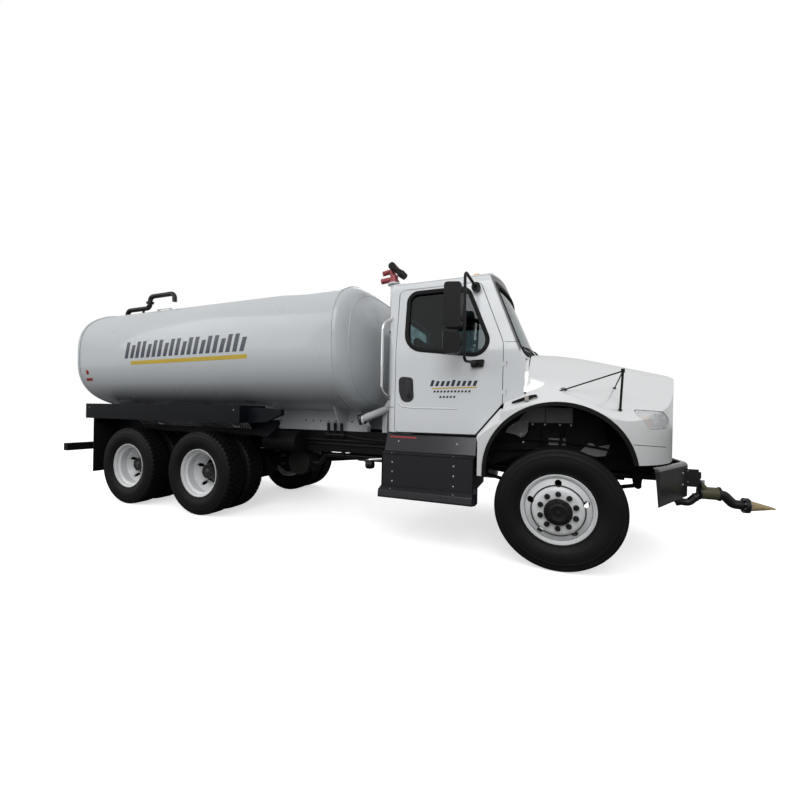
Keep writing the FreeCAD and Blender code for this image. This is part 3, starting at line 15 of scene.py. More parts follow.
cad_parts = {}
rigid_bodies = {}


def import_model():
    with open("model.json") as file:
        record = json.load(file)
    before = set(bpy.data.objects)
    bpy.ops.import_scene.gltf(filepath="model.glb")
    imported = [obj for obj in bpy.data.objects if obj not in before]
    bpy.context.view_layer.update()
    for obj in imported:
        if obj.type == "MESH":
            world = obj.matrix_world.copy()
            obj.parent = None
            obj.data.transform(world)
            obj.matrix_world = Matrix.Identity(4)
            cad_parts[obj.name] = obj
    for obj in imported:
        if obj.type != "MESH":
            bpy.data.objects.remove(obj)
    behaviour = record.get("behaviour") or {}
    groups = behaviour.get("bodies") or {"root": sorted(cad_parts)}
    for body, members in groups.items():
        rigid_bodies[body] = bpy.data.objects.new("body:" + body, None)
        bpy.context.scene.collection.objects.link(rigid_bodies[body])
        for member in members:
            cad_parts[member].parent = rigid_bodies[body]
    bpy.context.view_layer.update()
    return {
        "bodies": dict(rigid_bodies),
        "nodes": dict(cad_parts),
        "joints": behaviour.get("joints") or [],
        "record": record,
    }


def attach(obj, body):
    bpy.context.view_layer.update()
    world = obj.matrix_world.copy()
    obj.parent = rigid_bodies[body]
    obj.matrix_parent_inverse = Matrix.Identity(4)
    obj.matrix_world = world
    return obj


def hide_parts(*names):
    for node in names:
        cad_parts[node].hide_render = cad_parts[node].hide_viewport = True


LOG = logging.getLogger("tanker")

Point = tuple[float, float, float]
Colour = tuple[float, float, float]

# Sizes in metres, from the truck's middle and the ground; x runs ahead of the front axle where a name says so
FRONT_AXLE = 2.5825
DRIVE_AXLES = (FRONT_AXLE - 4.070, FRONT_AXLE - 5.390)
AXLE_HEIGHT = 0.525
FRONT_WHEEL_Y = 1.025
OUTER_DUAL_Y = 1.090
DUAL_FACE_Y = 0.9165
INNER_DUAL_Y = 2 * DUAL_FACE_Y - OUTER_DUAL_Y
DISC_OUTSET = 0.168
DRUM_RADIUS = 0.216
CAB_HALF = 1.030
CAB_WALL = 0.030
CAB_LEAN = 0.1416
LEAN_START = 1.93
ROOF_FALL = 0.116
ROOF_LINING = 2.772
CAB_INSIDE = (-1.585, -0.33)
CAB_SILL = 1.13
CAB_BEND = 1.8
FIREWALL_HALF = 0.66
FIREWALL_TOP = 1.56
FIREWALL_BACK = -0.75
CAB_UNDERSIDE = 1.125


def from_axle(x: float) -> float:
    """Turns a distance ahead of the front axle into the frame's X."""
    return FRONT_AXLE + x


def ahead(*points: Point) -> list[Point]:
    """Turns points whose first measure is ahead of the front axle into the frame's."""
    return [(from_axle(x), y, z) for x, y, z in points]


def turns(count: int, start: float = 0.0) -> list[float]:
    """Returns the angles in radians of equal steps round a circle, from a share of one step."""
    return [2.0 * math.pi * (k + start) / count for k in range(count)]


class Side(Enum):
    """Which side of the truck a piece is on; the value is the sign of Y."""

    LEFT = 1
    RIGHT = -1


# Materials


class Graph:
    """A material's node tree with short ways to add and join nodes."""

    def __init__(self, name: str) -> None:
        """Starts a material with a Principled shader.

        Args:
            name: the material's name.
        """
        self.material = bpy.data.materials.new(name)
        self.material.use_nodes = True
        self.tree = self.material.node_tree
        self.shader = self.tree.nodes["Principled BSDF"]
        self.place = self.tree.nodes.new("ShaderNodeTexCoord").outputs["Object"]

    def add(self, kind: str, settings: Optional[dict] = None, **inputs: object) -> bpy.types.Node:
        """Adds a node.

        Args:
            kind: the node's type name.
            settings: properties of the node itself.
            inputs: values or sockets for its inputs, by name with underscores for spaces.

        Returns:
            The node.
        """
        node = self.tree.nodes.new(kind)
        for key, value in (settings or {}).items():
            setattr(node, key, value)
        for key, value in inputs.items():
            self.put(node.inputs[key.replace("_", " ")], value)
        return node

    def put(self, socket: bpy.types.NodeSocket, value: object) -> None:
        """Joins a socket to the input, or sets the input's own value."""
        if isinstance(value, bpy.types.NodeSocket):
            self.tree.links.new(value, socket)
        else:
            socket.default_value = value

    def noise(self, scale: float, detail: float = 3.0, rough: float = 0.5) -> bpy.types.NodeSocket:
        """Returns a noise value that lies still on the piece."""
        node = self.add("ShaderNodeTexNoise", Vector=self.place, Scale=scale, Detail=detail, Roughness=rough)
        return node.outputs["Fac"]

    def stretch(
        self, value: object, low: float, high: float, start: float = 0.0, end: float = 1.0,
    ) -> bpy.types.NodeSocket:
        """Returns the value mapped from start..end onto low..high and held there."""
        node = self.add("ShaderNodeMapRange")
        for key, entry in (
            ("Value", value), ("From Min", start), ("From Max", end), ("To Min", low), ("To Max", high),
        ):
            self.put(node.inputs[key], entry)
        return node.outputs["Result"]

    def math(self, kind: str, first: object, second: object = 0.0) -> bpy.types.NodeSocket:
        """Returns the result of a sum on two values."""
        node = self.add("ShaderNodeMath", {"operation": kind})
        self.put(node.inputs[0], first)
        self.put(node.inputs[1], second)
        return node.outputs["Value"]

    def blend(self, share: object, first: object, second: object) -> bpy.types.NodeSocket:
        """Returns a colour between two colours."""
        node = self.add("ShaderNodeMix", {"data_type": "RGBA"})
        self.put(node.inputs["Factor"], share)
        for key, entry in (("A", first), ("B", second)):
            socket = [s for s in node.inputs if s.name == key and s.type == "RGBA"][0]
            self.put(socket, entry)
        return [s for s in node.outputs if s.type == "RGBA"][0]

    def tone(
        self, share: bpy.types.NodeSocket, colour: Colour, dark: float, light: float,
    ) -> bpy.types.NodeSocket:
        """Returns a colour that wanders between a darker and a lighter one.

        Args:
            share: a slow noise.
            colour: the colour.
            dark: the darker one's share of it.
            light: the lighter one's share of it.

        Returns:
            The colour's socket.
        """
        low, high = (opaque(tuple(min(1.0, c * level) for c in colour)) for level in (dark, light))
        return self.blend(self.stretch(share, 0.0, 1.0, 0.35, 0.65), low, high)

    def axis(self, name: str) -> bpy.types.NodeSocket:
        """Returns the point's X, Y or Z in the truck's frame."""
        return self.add("ShaderNodeSeparateXYZ", Vector=self.place).outputs[name]

    def mix_values(self, share: object, first: object, second: object) -> bpy.types.NodeSocket:
        """Returns a number between two numbers."""
        return self.math("ADD", self.math("MULTIPLY", share, self.math("SUBTRACT", second, first)), first)

    def above(self, value: object, limit: float) -> bpy.types.NodeSocket:
        """Returns 1 where the value is over the limit and 0 elsewhere."""
        return self.math("GREATER_THAN", value, limit)

    def below(self, value: object, limit: float) -> bpy.types.NodeSocket:
        """Returns 1 where the value is under the limit and 0 elsewhere."""
        return self.math("LESS_THAN", value, limit)

    def every(self, *shares: bpy.types.NodeSocket) -> bpy.types.NodeSocket:
        """Returns 1 where all the shares are 1."""
        result = shares[0]
        for share in shares[1:]:
            result = self.math("MULTIPLY", result, share)
        return result

    def from_line(self, x: float, z: float) -> bpy.types.NodeSocket:
        """Returns the distance from a line along Y through (x, z)."""
        across = self.math("SUBTRACT", self.axis("X"), x)
        up = self.math("SUBTRACT", self.axis("Z"), z)
        return self.math(
            "SQRT", self.math("ADD", self.math("MULTIPLY", across, across), self.math("MULTIPLY", up, up)),
        )

    def bump(self, value: bpy.types.NodeSocket, strength: float, depth: float) -> None:
        """Raises the surface by a value."""
        node = self.add("ShaderNodeBump", Height=value, Strength=strength, Distance=depth)
        self.tree.links.new(node.outputs["Normal"], self.shader.inputs["Normal"])


def opaque(colour: Colour, alpha: float = 1.0) -> tuple[float, float, float, float]:
    """Returns the colour with its alpha."""
    return (colour[0], colour[1], colour[2], alpha)


@dataclass(frozen=True)
class Zone:
    """A part of a surface with its own tone; where returns a share from 0 to 1 from the graph."""

    where: Callable[[Graph], bpy.types.NodeSocket]
    colour: Colour
    roughness: float = 0.5


@dataclass(frozen=True)
class Finish:
    """A surface: colour with slow and fine variation, gloss, grain, and dust that thins out upwards."""

    name: str
    colour: Colour
    roughness: float = 0.4
    metallic: float = 0.0
    coat: float = 0.0
    specular: float = 0.5
    mottle: float = 0.06
    mottle_scale: float = 2.2
    grain: float = 0.05
    grain_scale: float = 160.0
    grain_depth: float = 0.0006
    dust: float = 0.0
    dust_top: float = 1.2
    dust_colour: Colour = (0.36, 0.31, 0.25)
    zones: tuple[Zone, ...] = ()

    def material(self) -> bpy.types.Material:
        """Returns the finish's material, made once."""
        known = bpy.data.materials.get(self.name)
        if known is not None:
            return known
        g = Graph(self.name)
        shader = g.shader
        slow = g.noise(self.mottle_scale, 4.0, 0.6)
        colour = g.tone(slow, self.colour, 1.0 - self.mottle, 1.0 + 0.5 * self.mottle)
        rough = g.stretch(
            g.noise(self.mottle_scale * 6.0, 3.0), self.roughness * 0.86, self.roughness * 1.14, 0.3, 0.7,
        )
        if self.dust > 0.0:
            low = g.stretch(g.axis("Z"), self.dust, 0.0, 0.0, self.dust_top)
            spots = g.stretch(g.noise(9.0, 6.0, 0.7), 0.25, 1.0, 0.35, 0.7)
            share = g.math("MULTIPLY", low, spots)
            colour = g.blend(share, colour, opaque(self.dust_colour))
            rough = g.math("ADD", rough, g.math("MULTIPLY", share, 0.4))
        for zone in self.zones:
            share = zone.where(g)
            colour = g.blend(share, colour, g.tone(slow, zone.colour, 0.85, 1.0))
            rough = g.mix_values(share, rough, zone.roughness)
        g.put(shader.inputs["Base Color"], colour)
        g.put(shader.inputs["Roughness"], rough)
        shader.inputs["Metallic"].default_value = self.metallic
        shader.inputs["Specular IOR Level"].default_value = self.specular
        shader.inputs["Coat Weight"].default_value = self.coat
        shader.inputs["Coat Roughness"].default_value = 0.05
        g.bump(g.noise(self.grain_scale, 2.0), self.grain, self.grain_depth)
        return g.material


@dataclass(frozen=True)
class Pane:
    """Clear or tinted glass."""

    name: str
    tint: Colour
    roughness: float = 0.02
    clear: float = 1.0
    bend: float = 1.45

    def material(self) -> bpy.types.Material:
        """Returns the glass material, made once."""
        known = bpy.data.materials.get(self.name)
        if known is not None:
            return known
        g = Graph(self.name)
        shade = g.stretch(g.noise(1.5, 2.0), 0.92, 1.0, 0.3, 0.7)
        dark = opaque(tuple(c * 0.9 for c in self.tint))
        g.put(g.shader.inputs["Base Color"], g.blend(shade, dark, opaque(self.tint)))
        g.put(
            g.shader.inputs["Roughness"],
            g.stretch(g.noise(30.0, 2.0), self.roughness, self.roughness * 2.0),
        )
        g.shader.inputs["Transmission Weight"].default_value = self.clear
        g.shader.inputs["IOR"].default_value = self.bend
        return g.material


@dataclass(frozen=True)
class Glow:
    """A pale matte floor that looks white where no shadow falls."""

    name: str
    colour: Colour
    far: Colour
    lift: float

    def material(self) -> bpy.types.Material:
        """Returns a matte floor with shadows that the camera and shiny things see lifted to white."""
        known = bpy.data.materials.get(self.name)
        if known is not None:
            return known
        g = Graph(self.name)
        g.shader.inputs["Roughness"].default_value = 0.9
        g.shader.inputs["Specular IOR Level"].default_value = 0.0
        paths = g.add("ShaderNodeLightPath").outputs
        seen = g.math("MINIMUM", g.math("ADD", paths["Is Camera Ray"], paths["Is Transmission Ray"]), 1.0)
        g.put(g.shader.inputs["Base Color"], g.blend(seen, opaque(self.far), opaque(self.colour)))
        g.shader.inputs["Emission Color"].default_value = opaque((1.0, 1.0, 1.0))
        g.put(g.shader.inputs["Emission Strength"], g.math("MULTIPLY", seen, self.lift))
        return g.material


def wheel_zones(y: float, hub_top: float) -> tuple[Zone, ...]:
    """Returns black zones on a disc wheel: hub and nuts outside the disc's face at y, brake drum inside it.

    Args:
        y: the disc's outer face, as a distance from the truck's middle.
        hub_top: radius within which all that stands out of the face is black.

    Returns:
        The zones, for any wheel whose axle is at the axles' height.
    """

    def reach(g: Graph) -> bpy.types.NodeSocket:
        """Returns the distance from the nearest axle's line."""
        lines = [g.from_line(x, AXLE_HEIGHT) for x in (FRONT_AXLE, *DRIVE_AXLES)]
        return g.math("MINIMUM", g.math("MINIMUM", lines[0], lines[1]), lines[2])

    def out(g: Graph) -> bpy.types.NodeSocket:
        """Returns the distance from the truck's middle."""
        return g.math("ABSOLUTE", g.axis("Y"))

    return (
        Zone(
            lambda g: g.every(g.below(reach(g), hub_top), g.above(out(g), y + 0.0008)),
            (0.017, 0.016, 0.017), 0.4,
        ),
        Zone(
            lambda g: g.every(g.below(reach(g), DRUM_RADIUS), g.below(out(g), y - 0.020)),
            (0.016, 0.016, 0.016), 0.6,
        ),
    )


def along_zone(low: float, high: float, colour: Colour, roughness: float) -> Zone:
    """Returns a zone between two distances ahead of the front axle."""

    def where(g: Graph) -> bpy.types.NodeSocket:
        """Returns 1 between the two."""
        return g.every(g.above(g.axis("X"), from_axle(low)), g.below(g.axis("X"), from_axle(high)))

    return Zone(where, colour, roughness)


def cab_inside(g: Graph) -> bpy.types.NodeSocket:
    """Returns 1 on the cab's inner faces, between its back wall and its front and under its crowned roof."""
    over_belt = g.math("MAXIMUM", g.math("SUBTRACT", g.axis("Z"), LEAN_START), 0.0)
    wall = g.math("SUBTRACT", CAB_HALF - CAB_WALL, g.math("MULTIPLY", over_belt, CAB_LEAN))
    within = g.math("LESS_THAN", g.math("ABSOLUTE", g.axis("Y")), wall)
    fall = g.math("MULTIPLY", g.math("MULTIPLY", g.axis("Y"), g.axis("Y")), ROOF_FALL)
    roof = g.below(g.math("ADD", g.axis("Z"), fall), ROOF_LINING)
    back, front = (from_axle(x) for x in CAB_INSIDE)
    return g.every(
        within, g.above(g.axis("X"), back), g.below(g.axis("X"), front), roof,
        g.above(g.axis("Z"), CAB_SILL),
    )


def nose_and_underside_painted_shade(g: Graph) -> bpy.types.NodeSocket:
    """Returns 1 where painted shade darkens the cab: on its nose between the wheel arches, and on its
    underside.
    """
    between = g.below(g.math("ABSOLUTE", g.axis("Y")), FIREWALL_HALF)
    ahead_of_seats = g.above(g.axis("X"), from_axle(FIREWALL_BACK))
    low = g.every(g.below(g.axis("Z"), FIREWALL_TOP), between, ahead_of_seats)
    return g.math("MAXIMUM", low, g.below(g.axis("Z"), CAB_UNDERSIDE))


WHITE_PAINT = Finish(
    "white_paint", (0.70, 0.725, 0.745), 0.20, coat=0.6, mottle=0.025, grain=0.02, dust=0.08, dust_top=1.6,
)
# Cab paint: dark grey on its inside faces, and painted shade near black on its nose between the arches and on
# its underside.
CAB_PAINT = replace(
    WHITE_PAINT, name="cab_paint",
    zones=(Zone(cab_inside, (0.085, 0.088, 0.092), 0.7), Zone(nose_and_underside_painted_shade, (0.020, 0.020, 0.022), 0.5)),
)
TANK_PAINT = Finish(
    "tank_paint", (0.54, 0.57, 0.59), 0.30, coat=0.4, mottle=0.03, mottle_scale=0.5, grain=0.02,
    grain_scale=60.0,
)
FRONT_RIM_PAINT = Finish(
    "front_rim_paint", (0.72, 0.73, 0.74), 0.30, coat=0.3, mottle=0.05, grain=0.03, dust=0.08, dust_top=1.1,
    zones=wheel_zones(FRONT_WHEEL_Y + DISC_OUTSET, 0.168),
)
REAR_RIM_PAINT = replace(
    FRONT_RIM_PAINT, name="rear_rim_paint", dust=0.10, zones=wheel_zones(DUAL_FACE_Y + 0.011, 0.168),
)
GLOSS_BLACK = Finish(
    "gloss_black", (0.005, 0.005, 0.006), 0.16, coat=0.10, specular=0.22, mottle=0.15, grain=0.02,
    dust=0.02, dust_top=1.3,
)
FRAME_BLACK = Finish(
    "frame_black", (0.007, 0.007, 0.008), 0.48, specular=0.16, mottle=0.25, grain=0.10, dust=0.02,
    dust_top=1.3,
)
PIPE_BLACK = Finish("pipe_black", (0.009, 0.009, 0.011), 0.36, specular=0.35, mottle=0.2, grain=0.08)
IRON = Finish(
    "iron", (0.010, 0.010, 0.010), 0.55, specular=0.2, mottle=0.3, grain=0.25,
    grain_scale=90.0, dust=0.04, dust_top=1.2,
)
TRAY_BLACK = Finish("tray_black", (0.006, 0.007, 0.010), 0.46, specular=0.16, mottle=0.2, grain=0.10)
RED_PAINT = Finish("red_paint", (0.13, 0.008, 0.016), 0.32, coat=0.3, mottle=0.15, grain=0.06)
CHROME = Finish("chrome", (0.80, 0.81, 0.83), 0.10, metallic=1.0, mottle=0.04, grain=0.01)
STEEL = Finish("steel", (0.46, 0.45, 0.43), 0.35, metallic=1.0, mottle=0.15, grain=0.08)
ALUMINIUM = Finish("aluminium", (0.62, 0.63, 0.65), 0.28, metallic=1.0, mottle=0.08, grain=0.05)
ZINC = Finish("zinc", (0.45, 0.46, 0.47), 0.42, metallic=0.8, mottle=0.12, grain=0.05)
RUBBER = Finish(
    "rubber", (0.007, 0.007, 0.008), 0.60, specular=0.16, mottle=0.2, grain=0.15, grain_scale=260.0,
)
TYRE_RUBBER = Finish(
    "tyre_rubber", (0.0052, 0.0052, 0.0062), 0.52, specular=0.17, mottle=0.18, mottle_scale=5.0, grain=0.2,
    grain_scale=320.0, dust=0.015, dust_top=1.0,
)
PLASTIC = Finish(
    "plastic", (0.008, 0.008, 0.009), 0.42, specular=0.2, mottle=0.12, grain=0.2, grain_scale=420.0,
)
DASH_PLASTIC = Finish("dash_plastic", (0.06, 0.06, 0.066), 0.6, mottle=0.1, grain=0.3, grain_scale=500.0)
CLOTH = Finish(
    "cloth", (0.045, 0.047, 0.055), 0.9, mottle=0.2, mottle_scale=30.0, grain=0.6, grain_scale=700.0,
)
AMBER = Finish("amber", (0.62, 0.17, 0.012), 0.20, coat=0.8, mottle=0.1, grain=0.05)
RED_LENS = Finish("red_lens", (0.36, 0.010, 0.010), 0.20, coat=0.8, mottle=0.1, grain=0.05)
YELLOW_PAINT = Finish("yellow_paint", (0.56, 0.39, 0.020), 0.32, coat=0.2, mottle=0.06, grain=0.02)
NAVY_PAINT = Finish("navy_paint", (0.014, 0.020, 0.045), 0.32, coat=0.2, mottle=0.08, grain=0.02)
NUT_BLACK = Finish(
    "nut_black", (0.010, 0.010, 0.011), 0.42, specular=0.3, mottle=0.25, grain=0.15, grain_scale=220.0,
)
HUB_BLACK = Finish("hub_black", (0.009, 0.0085, 0.009), 0.36, specular=0.3, mottle=0.25, grain=0.1)
SPRAY_METAL = Finish(
    "spray_metal", (0.010, 0.010, 0.012), 0.36, specular=0.35, mottle=0.2, grain=0.08,
    zones=(
        along_zone(1.1995, 1.3405, (0.085, 0.080, 0.045), 0.45),
        along_zone(1.5465, 1.80, (0.40, 0.31, 0.17), 0.5),
    ),
)
RISER_PAINT = Finish(
    "riser_paint", (0.66, 0.68, 0.69), 0.3, coat=0.2, mottle=0.05, grain=0.05,
    zones=(along_zone(-2.2, -2.028, (0.010, 0.010, 0.011), 0.4),),
)
TREAD_GREY = Finish("tread_grey", (0.030, 0.031, 0.034), 0.5, specular=0.3, mottle=0.3, grain=0.1)
LAMP_BOWL = Finish("lamp_bowl", (0.20, 0.205, 0.215), 0.25, metallic=0.6, mottle=0.1, grain=0.02)
ARCH_GREY = Finish("arch_grey", (0.30, 0.305, 0.31), 0.5, mottle=0.2, grain=0.1)
CAB_GLASS = Pane("cab_glass_tint", (0.22, 0.31, 0.32))
DOOR_GLASS = Pane("door_glass_tint", (0.16, 0.21, 0.22))
LAMP_GLASS = Pane("lamp_glass", (0.93, 0.95, 0.96), bend=1.15)

SLOT_FINISH = {
    "white_paint": WHITE_PAINT, "white_rim": REAR_RIM_PAINT, "gloss_black": GLOSS_BLACK,
    "black_frame": FRAME_BLACK, "red_paint": RED_PAINT, "black_pipe": PIPE_BLACK, "steel": STEEL,
    "aluminium": ALUMINIUM, "cast_iron": IRON, "chrome": CHROME, "tyre": TYRE_RUBBER,
    "black_rubber": RUBBER, "black_plastic": PLASTIC, "fabric": CLOTH, "amber": AMBER,
    "lamp_glass": LAMP_GLASS, "glass": CAB_GLASS,
}
NODE_FINISH = {
    "water_tank": TANK_PAINT, "tank_cradle": TANK_PAINT, "manhole_lid": TANK_PAINT,
    "side_trays": TRAY_BLACK, "dashboard": DASH_PLASTIC, "cab_shell": CAB_PAINT, "door_left": CAB_PAINT,
    "door_right": CAB_PAINT, "wheel_front_left": FRONT_RIM_PAINT, "wheel_front_right": FRONT_RIM_PAINT,
    "front_spray_head": SPRAY_METAL, "monitor_riser": RISER_PAINT, "door_glass_left": DOOR_GLASS,
    "door_glass_right": DOOR_GLASS,
}


# Meshes


def shape_object(name: str, mesh: bpy.types.Mesh, finish: object, smooth: float = 35.0) -> bpy.types.Object:
    """Puts a mesh in the scene with its finish and its shading.

    Args:
        name: the piece's name.
        mesh: its mesh, in the truck's frame.
        finish: a Finish or Pane.
        smooth: the angle in degrees below which edges look smooth.

    Returns:
        The object.
    """
    piece = bpy.data.objects.new(name, mesh)
    bpy.context.scene.collection.objects.link(piece)
    mesh.materials.clear()
    mesh.materials.append(finish.material())
    shade(mesh, smooth)
    return piece


def shade(mesh: bpy.types.Mesh, angle: float) -> None:
    """Shades a mesh smooth, with its edges sharper than an angle kept crisp."""
    work = bmesh.new()
    work.from_mesh(mesh)
    limit = math.radians(angle)
    for edge in work.edges:
        edge.smooth = len(edge.link_faces) == 2 and edge.calc_face_angle(0.0) < limit
    for face in work.faces:
        face.smooth = True
    work.to_mesh(mesh)
    work.free()


class Builder:
    """Collects closed forms of one piece in a mesh."""

    def __init__(self) -> None:
        """Starts empty."""
        self.work = bmesh.new()

    def prism(self, outline: Sequence[Point], depth: Vector, taper: float = 1.0) -> None:
        """Adds the solid that an outline sweeps along a straight way.

        Args:
            outline: its corners in order.
            depth: the way and distance to sweep.
            taper: the far end's size as a share of the near end's.
        """
        points = [Vector(p) for p in outline]
        middle = sum(points, Vector()) / len(points)
        near = [self.work.verts.new(p) for p in points]
        far = [self.work.verts.new(middle + (p - middle) * taper + depth) for p in points]
        self.work.faces.new(near)
        self.work.faces.new(list(reversed(far)))
        count = len(points)
        for i in range(count):
            j = (i + 1) % count
            self.work.faces.new((near[j], near[i], far[i], far[j]))

    def box(self, low: Point, high: Point) -> None:
        """Adds a box between two corners."""
        x0, y0, z0 = low
        x1, y1, z1 = high
        self.prism([(x0, y0, z0), (x1, y0, z0), (x1, y1, z0), (x0, y1, z0)], Vector((0, 0, z1 - z0)))

    def lathe(
        self, profile: Sequence[tuple[float, float]], origin: Point, axis: Point, steps: int = 48,
        closed: bool = False,
    ) -> None:
        """Adds a turned form.

        Args:
            profile: (radius, distance along the axis) pairs.
            origin: where the axis starts.
            axis: its direction.
            steps: faces round the form.
            closed: whether the profile is a loop; otherwise its ends are closed on the axis.
        """
        way = Vector(axis).normalized()
        side = way.orthogonal().normalized()
        other = way.cross(side)
        start = Vector(origin)
        rings: list[list[bmesh.types.BMVert]] = []
        for radius, along in profile:
            centre = start + way * along
            if radius < 1e-6:
                rings.append([self.work.verts.new(centre)])
                continue
            spokes = [side * math.cos(turn) + other * math.sin(turn) for turn in turns(steps)]
            rings.append([self.work.verts.new(centre + spoke * radius) for spoke in spokes])
        pairs = list(zip(rings, rings[1:]))
        if closed:
            pairs.append((rings[-1], rings[0]))
        for first, second in pairs:
            self.band(first, second, steps)
        if not closed:
            for ring in (rings[0], rings[-1]):
                if len(ring) > 1:
                    self.work.faces.new(ring)

    def band(self, first: list, second: list, steps: int) -> None:
        """Joins two rings, either of which may be a point."""
        for k in range(steps):
            j = (k + 1) % steps
            if len(first) == 1 and len(second) == 1:
                return
            if len(first) == 1:
                self.work.faces.new((first[0], second[k], second[j]))
            elif len(second) == 1:
                self.work.faces.new((first[k], second[0], first[j]))
            else:
                self.work.faces.new((first[k], second[k], second[j], first[j]))

    def head(
        self, place: Sequence[float], way: Sequence[float], radius: float, low: float, shoulder: float,
        top: float, steps: int,
    ) -> None:
        """Adds a bolt head, boss or cap.

        Args:
            place: its seat.
            way: its outward direction.
            radius: its radius.
            low: where it starts along that direction.
            shoulder: where its side ends.
            top: where its middle ends.
            steps: its sides, 6 for a hexagon.
        """
        self.lathe(
            [(0.0, low), (radius, low), (radius, shoulder), (0.0, top)], tuple(place), tuple(way), steps,
        )

    def tube(
        self, path: Sequence[Point], radius: float, steps: int = 12, bend: float = 0.0, closed: bool = False,
    ) -> None:
        """Adds a round bar along a path.

        Args:
            path: its points.
            radius: the bar's radius.
            steps: faces round it.
            bend: radius of the bends at the points, 0 for none.
            closed: whether the path is a loop.
        """
        points = [Vector(p) for p in path]
        if bend > 0:
            points = rounded_path(points, bend, closed)
        count = len(points)
        rings = []
        normal = None
        for i, p in enumerate(points):
            before = points[i - 1] if (i > 0 or closed) else p
            after = points[(i + 1) % count] if (i < count - 1 or closed) else p
            way = (after - before).normalized()
            if normal is None:
                normal = way.orthogonal().normalized()
            normal = (normal - way * normal.dot(way)).normalized()
            other = way.cross(normal)
            spokes = [normal * math.cos(turn) + other * math.sin(turn) for turn in turns(steps)]
            rings.append([self.work.verts.new(p + spoke * radius) for spoke in spokes])
        for first, second in zip(rings, rings[1:]):
            self.band(first, second, steps)
        if closed:
            last, first = rings[-1], rings[0]
            shift = min(range(steps), key=lambda s: (last[0].co - first[s].co).length)
            self.band(last, first[shift:] + first[:shift], steps)
        else:
            self.work.faces.new(rings[0])
            self.work.faces.new(rings[-1])

    def sheet(self, grid: Sequence[Sequence[Point]], thick: Callable[[Point], Vector]) -> None:
        """Adds a closed skin over a grid of points.

        Args:
            grid: rows of points on its outer face.
            thick: gives the step from an outer point to the inner one.
        """
        outer = [[self.work.verts.new(Vector(p)) for p in row] for row in grid]
        inner = [[self.work.verts.new(Vector(p) + thick(p)) for p in row] for row in grid]
        rows, cols = len(grid), len(grid[0])
        for i in range(rows - 1):
            for j in range(cols - 1):
                self.work.faces.new((outer[i][j], outer[i][j + 1], outer[i + 1][j + 1], outer[i + 1][j]))
                self.work.faces.new((inner[i][j], inner[i + 1][j], inner[i + 1][j + 1], inner[i][j + 1]))
        for i in range(rows - 1):
            for j, flip in ((0, False), (cols - 1, True)):
                quad = [outer[i][j], outer[i + 1][j], inner[i + 1][j], inner[i][j]]
                self.work.faces.new(quad if not flip else list(reversed(quad)))
        for j in range(cols - 1):
            for i, flip in ((0, True), (rows - 1, False)):
                quad = [outer[i][j], outer[i][j + 1], inner[i][j + 1], inner[i][j]]
                self.work.faces.new(quad if flip else list(reversed(quad)))

    def mirror(self) -> None:
        """Adds the same forms on the truck's other side."""
        made = bmesh.ops.duplicate(
            self.work, geom=self.work.verts[:] + self.work.edges[:] + self.work.faces[:],
        )
        for vert in [v for v in made["geom"] if isinstance(v, bmesh.types.BMVert)]:
            vert.co.y = -vert.co.y

    def finish(
        self, name: str, finish: object, body: str, slot: str, bevel: float = 0.0, smooth: float = 35.0,
    ) -> bpy.types.Object:
        """Makes the piece, turns its faces outwards and seats it on its body.

        Args:
            name: the piece's name.
            finish: its surface.
            body: the body it rides on.
            slot: the record's material slot; not used.
            bevel: width of the softened edges, 0 for none.
            smooth: the shading angle in degrees.

        Returns:
            The piece.
        """
        if bevel > 0.0:
            sharp = [
                e
                for e in self.work.edges
                if len(e.link_faces) == 2 and e.calc_face_angle(0.0) > math.radians(30)
            ]
            bmesh.ops.bevel(
                self.work, geom=sharp, offset=bevel, segments=2, profile=0.6, affect="EDGES",
                clamp_overlap=True,
            )
        bmesh.ops.recalc_face_normals(self.work, faces=self.work.faces[:])
        mesh = bpy.data.meshes.new(name)
        self.work.to_mesh(mesh)
        self.work.free()
        piece = shape_object(name, mesh, finish, smooth)
        settle(piece, body, slot)
        return piece


def rounded_path(points: list[Vector], bend: float, closed: bool) -> list[Vector]:
    """Rounds a path's corners.

    Args:
        points: the path.
        bend: radius of the bends.
        closed: whether it is a loop.

    Returns:
        The path with an arc of points at each corner.
    """
    count = len(points)
    result = []
    for i, p in enumerate(points):
        if not closed and i in (0, count - 1):
            result.append(p)
            continue
        a, b = points[i - 1] - p, points[(i + 1) % count] - p
        u, w = a.normalized(), b.normalized()
        half = u.angle(w) / 2.0
        if half > math.radians(89):
            result.append(p)
            continue
        reach = min(bend / math.tan(half), 0.49 * a.length, 0.49 * b.length)
        radius = reach * math.tan(half)
        centre = p + (u + w).normalized() * (radius / math.sin(half))
        start, end = p + u * reach - centre, p + w * reach - centre
        steps = max(3, int(math.degrees(math.pi - 2 * half) / 11))
        axis = start.cross(end).normalized()
        total = start.angle(end)
        for k in range(steps + 1):
            result.append(centre + Matrix.Rotation(total * k / steps, 3, axis) @ start)
    return result


def settle(piece: bpy.types.Object, body: str, slot: str) -> None:
    """Seats a piece on its body."""
    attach(piece, body)
    LOG.info("%s on %s, %d faces", piece.name, body, len(piece.data.polygons))


# Surfaces and what lies on them

Surface = Callable[[float, float], tuple[Vector, Vector]]

CAB_LEAN_START = 1.8666
CAB_LEAN_END = 1.9928


def cab_half(z: float) -> float:
    """Returns the cab's half width at a height: upright below, leaning in above the belt."""
    if z < CAB_LEAN_START:
        return CAB_HALF
    if z < CAB_LEAN_END:
        return CAB_HALF - (z - CAB_LEAN_START) ** 2 / CAB_BEND
    return CAB_HALF - CAB_LEAN * (z - 0.5 * (CAB_LEAN_START + CAB_LEAN_END))


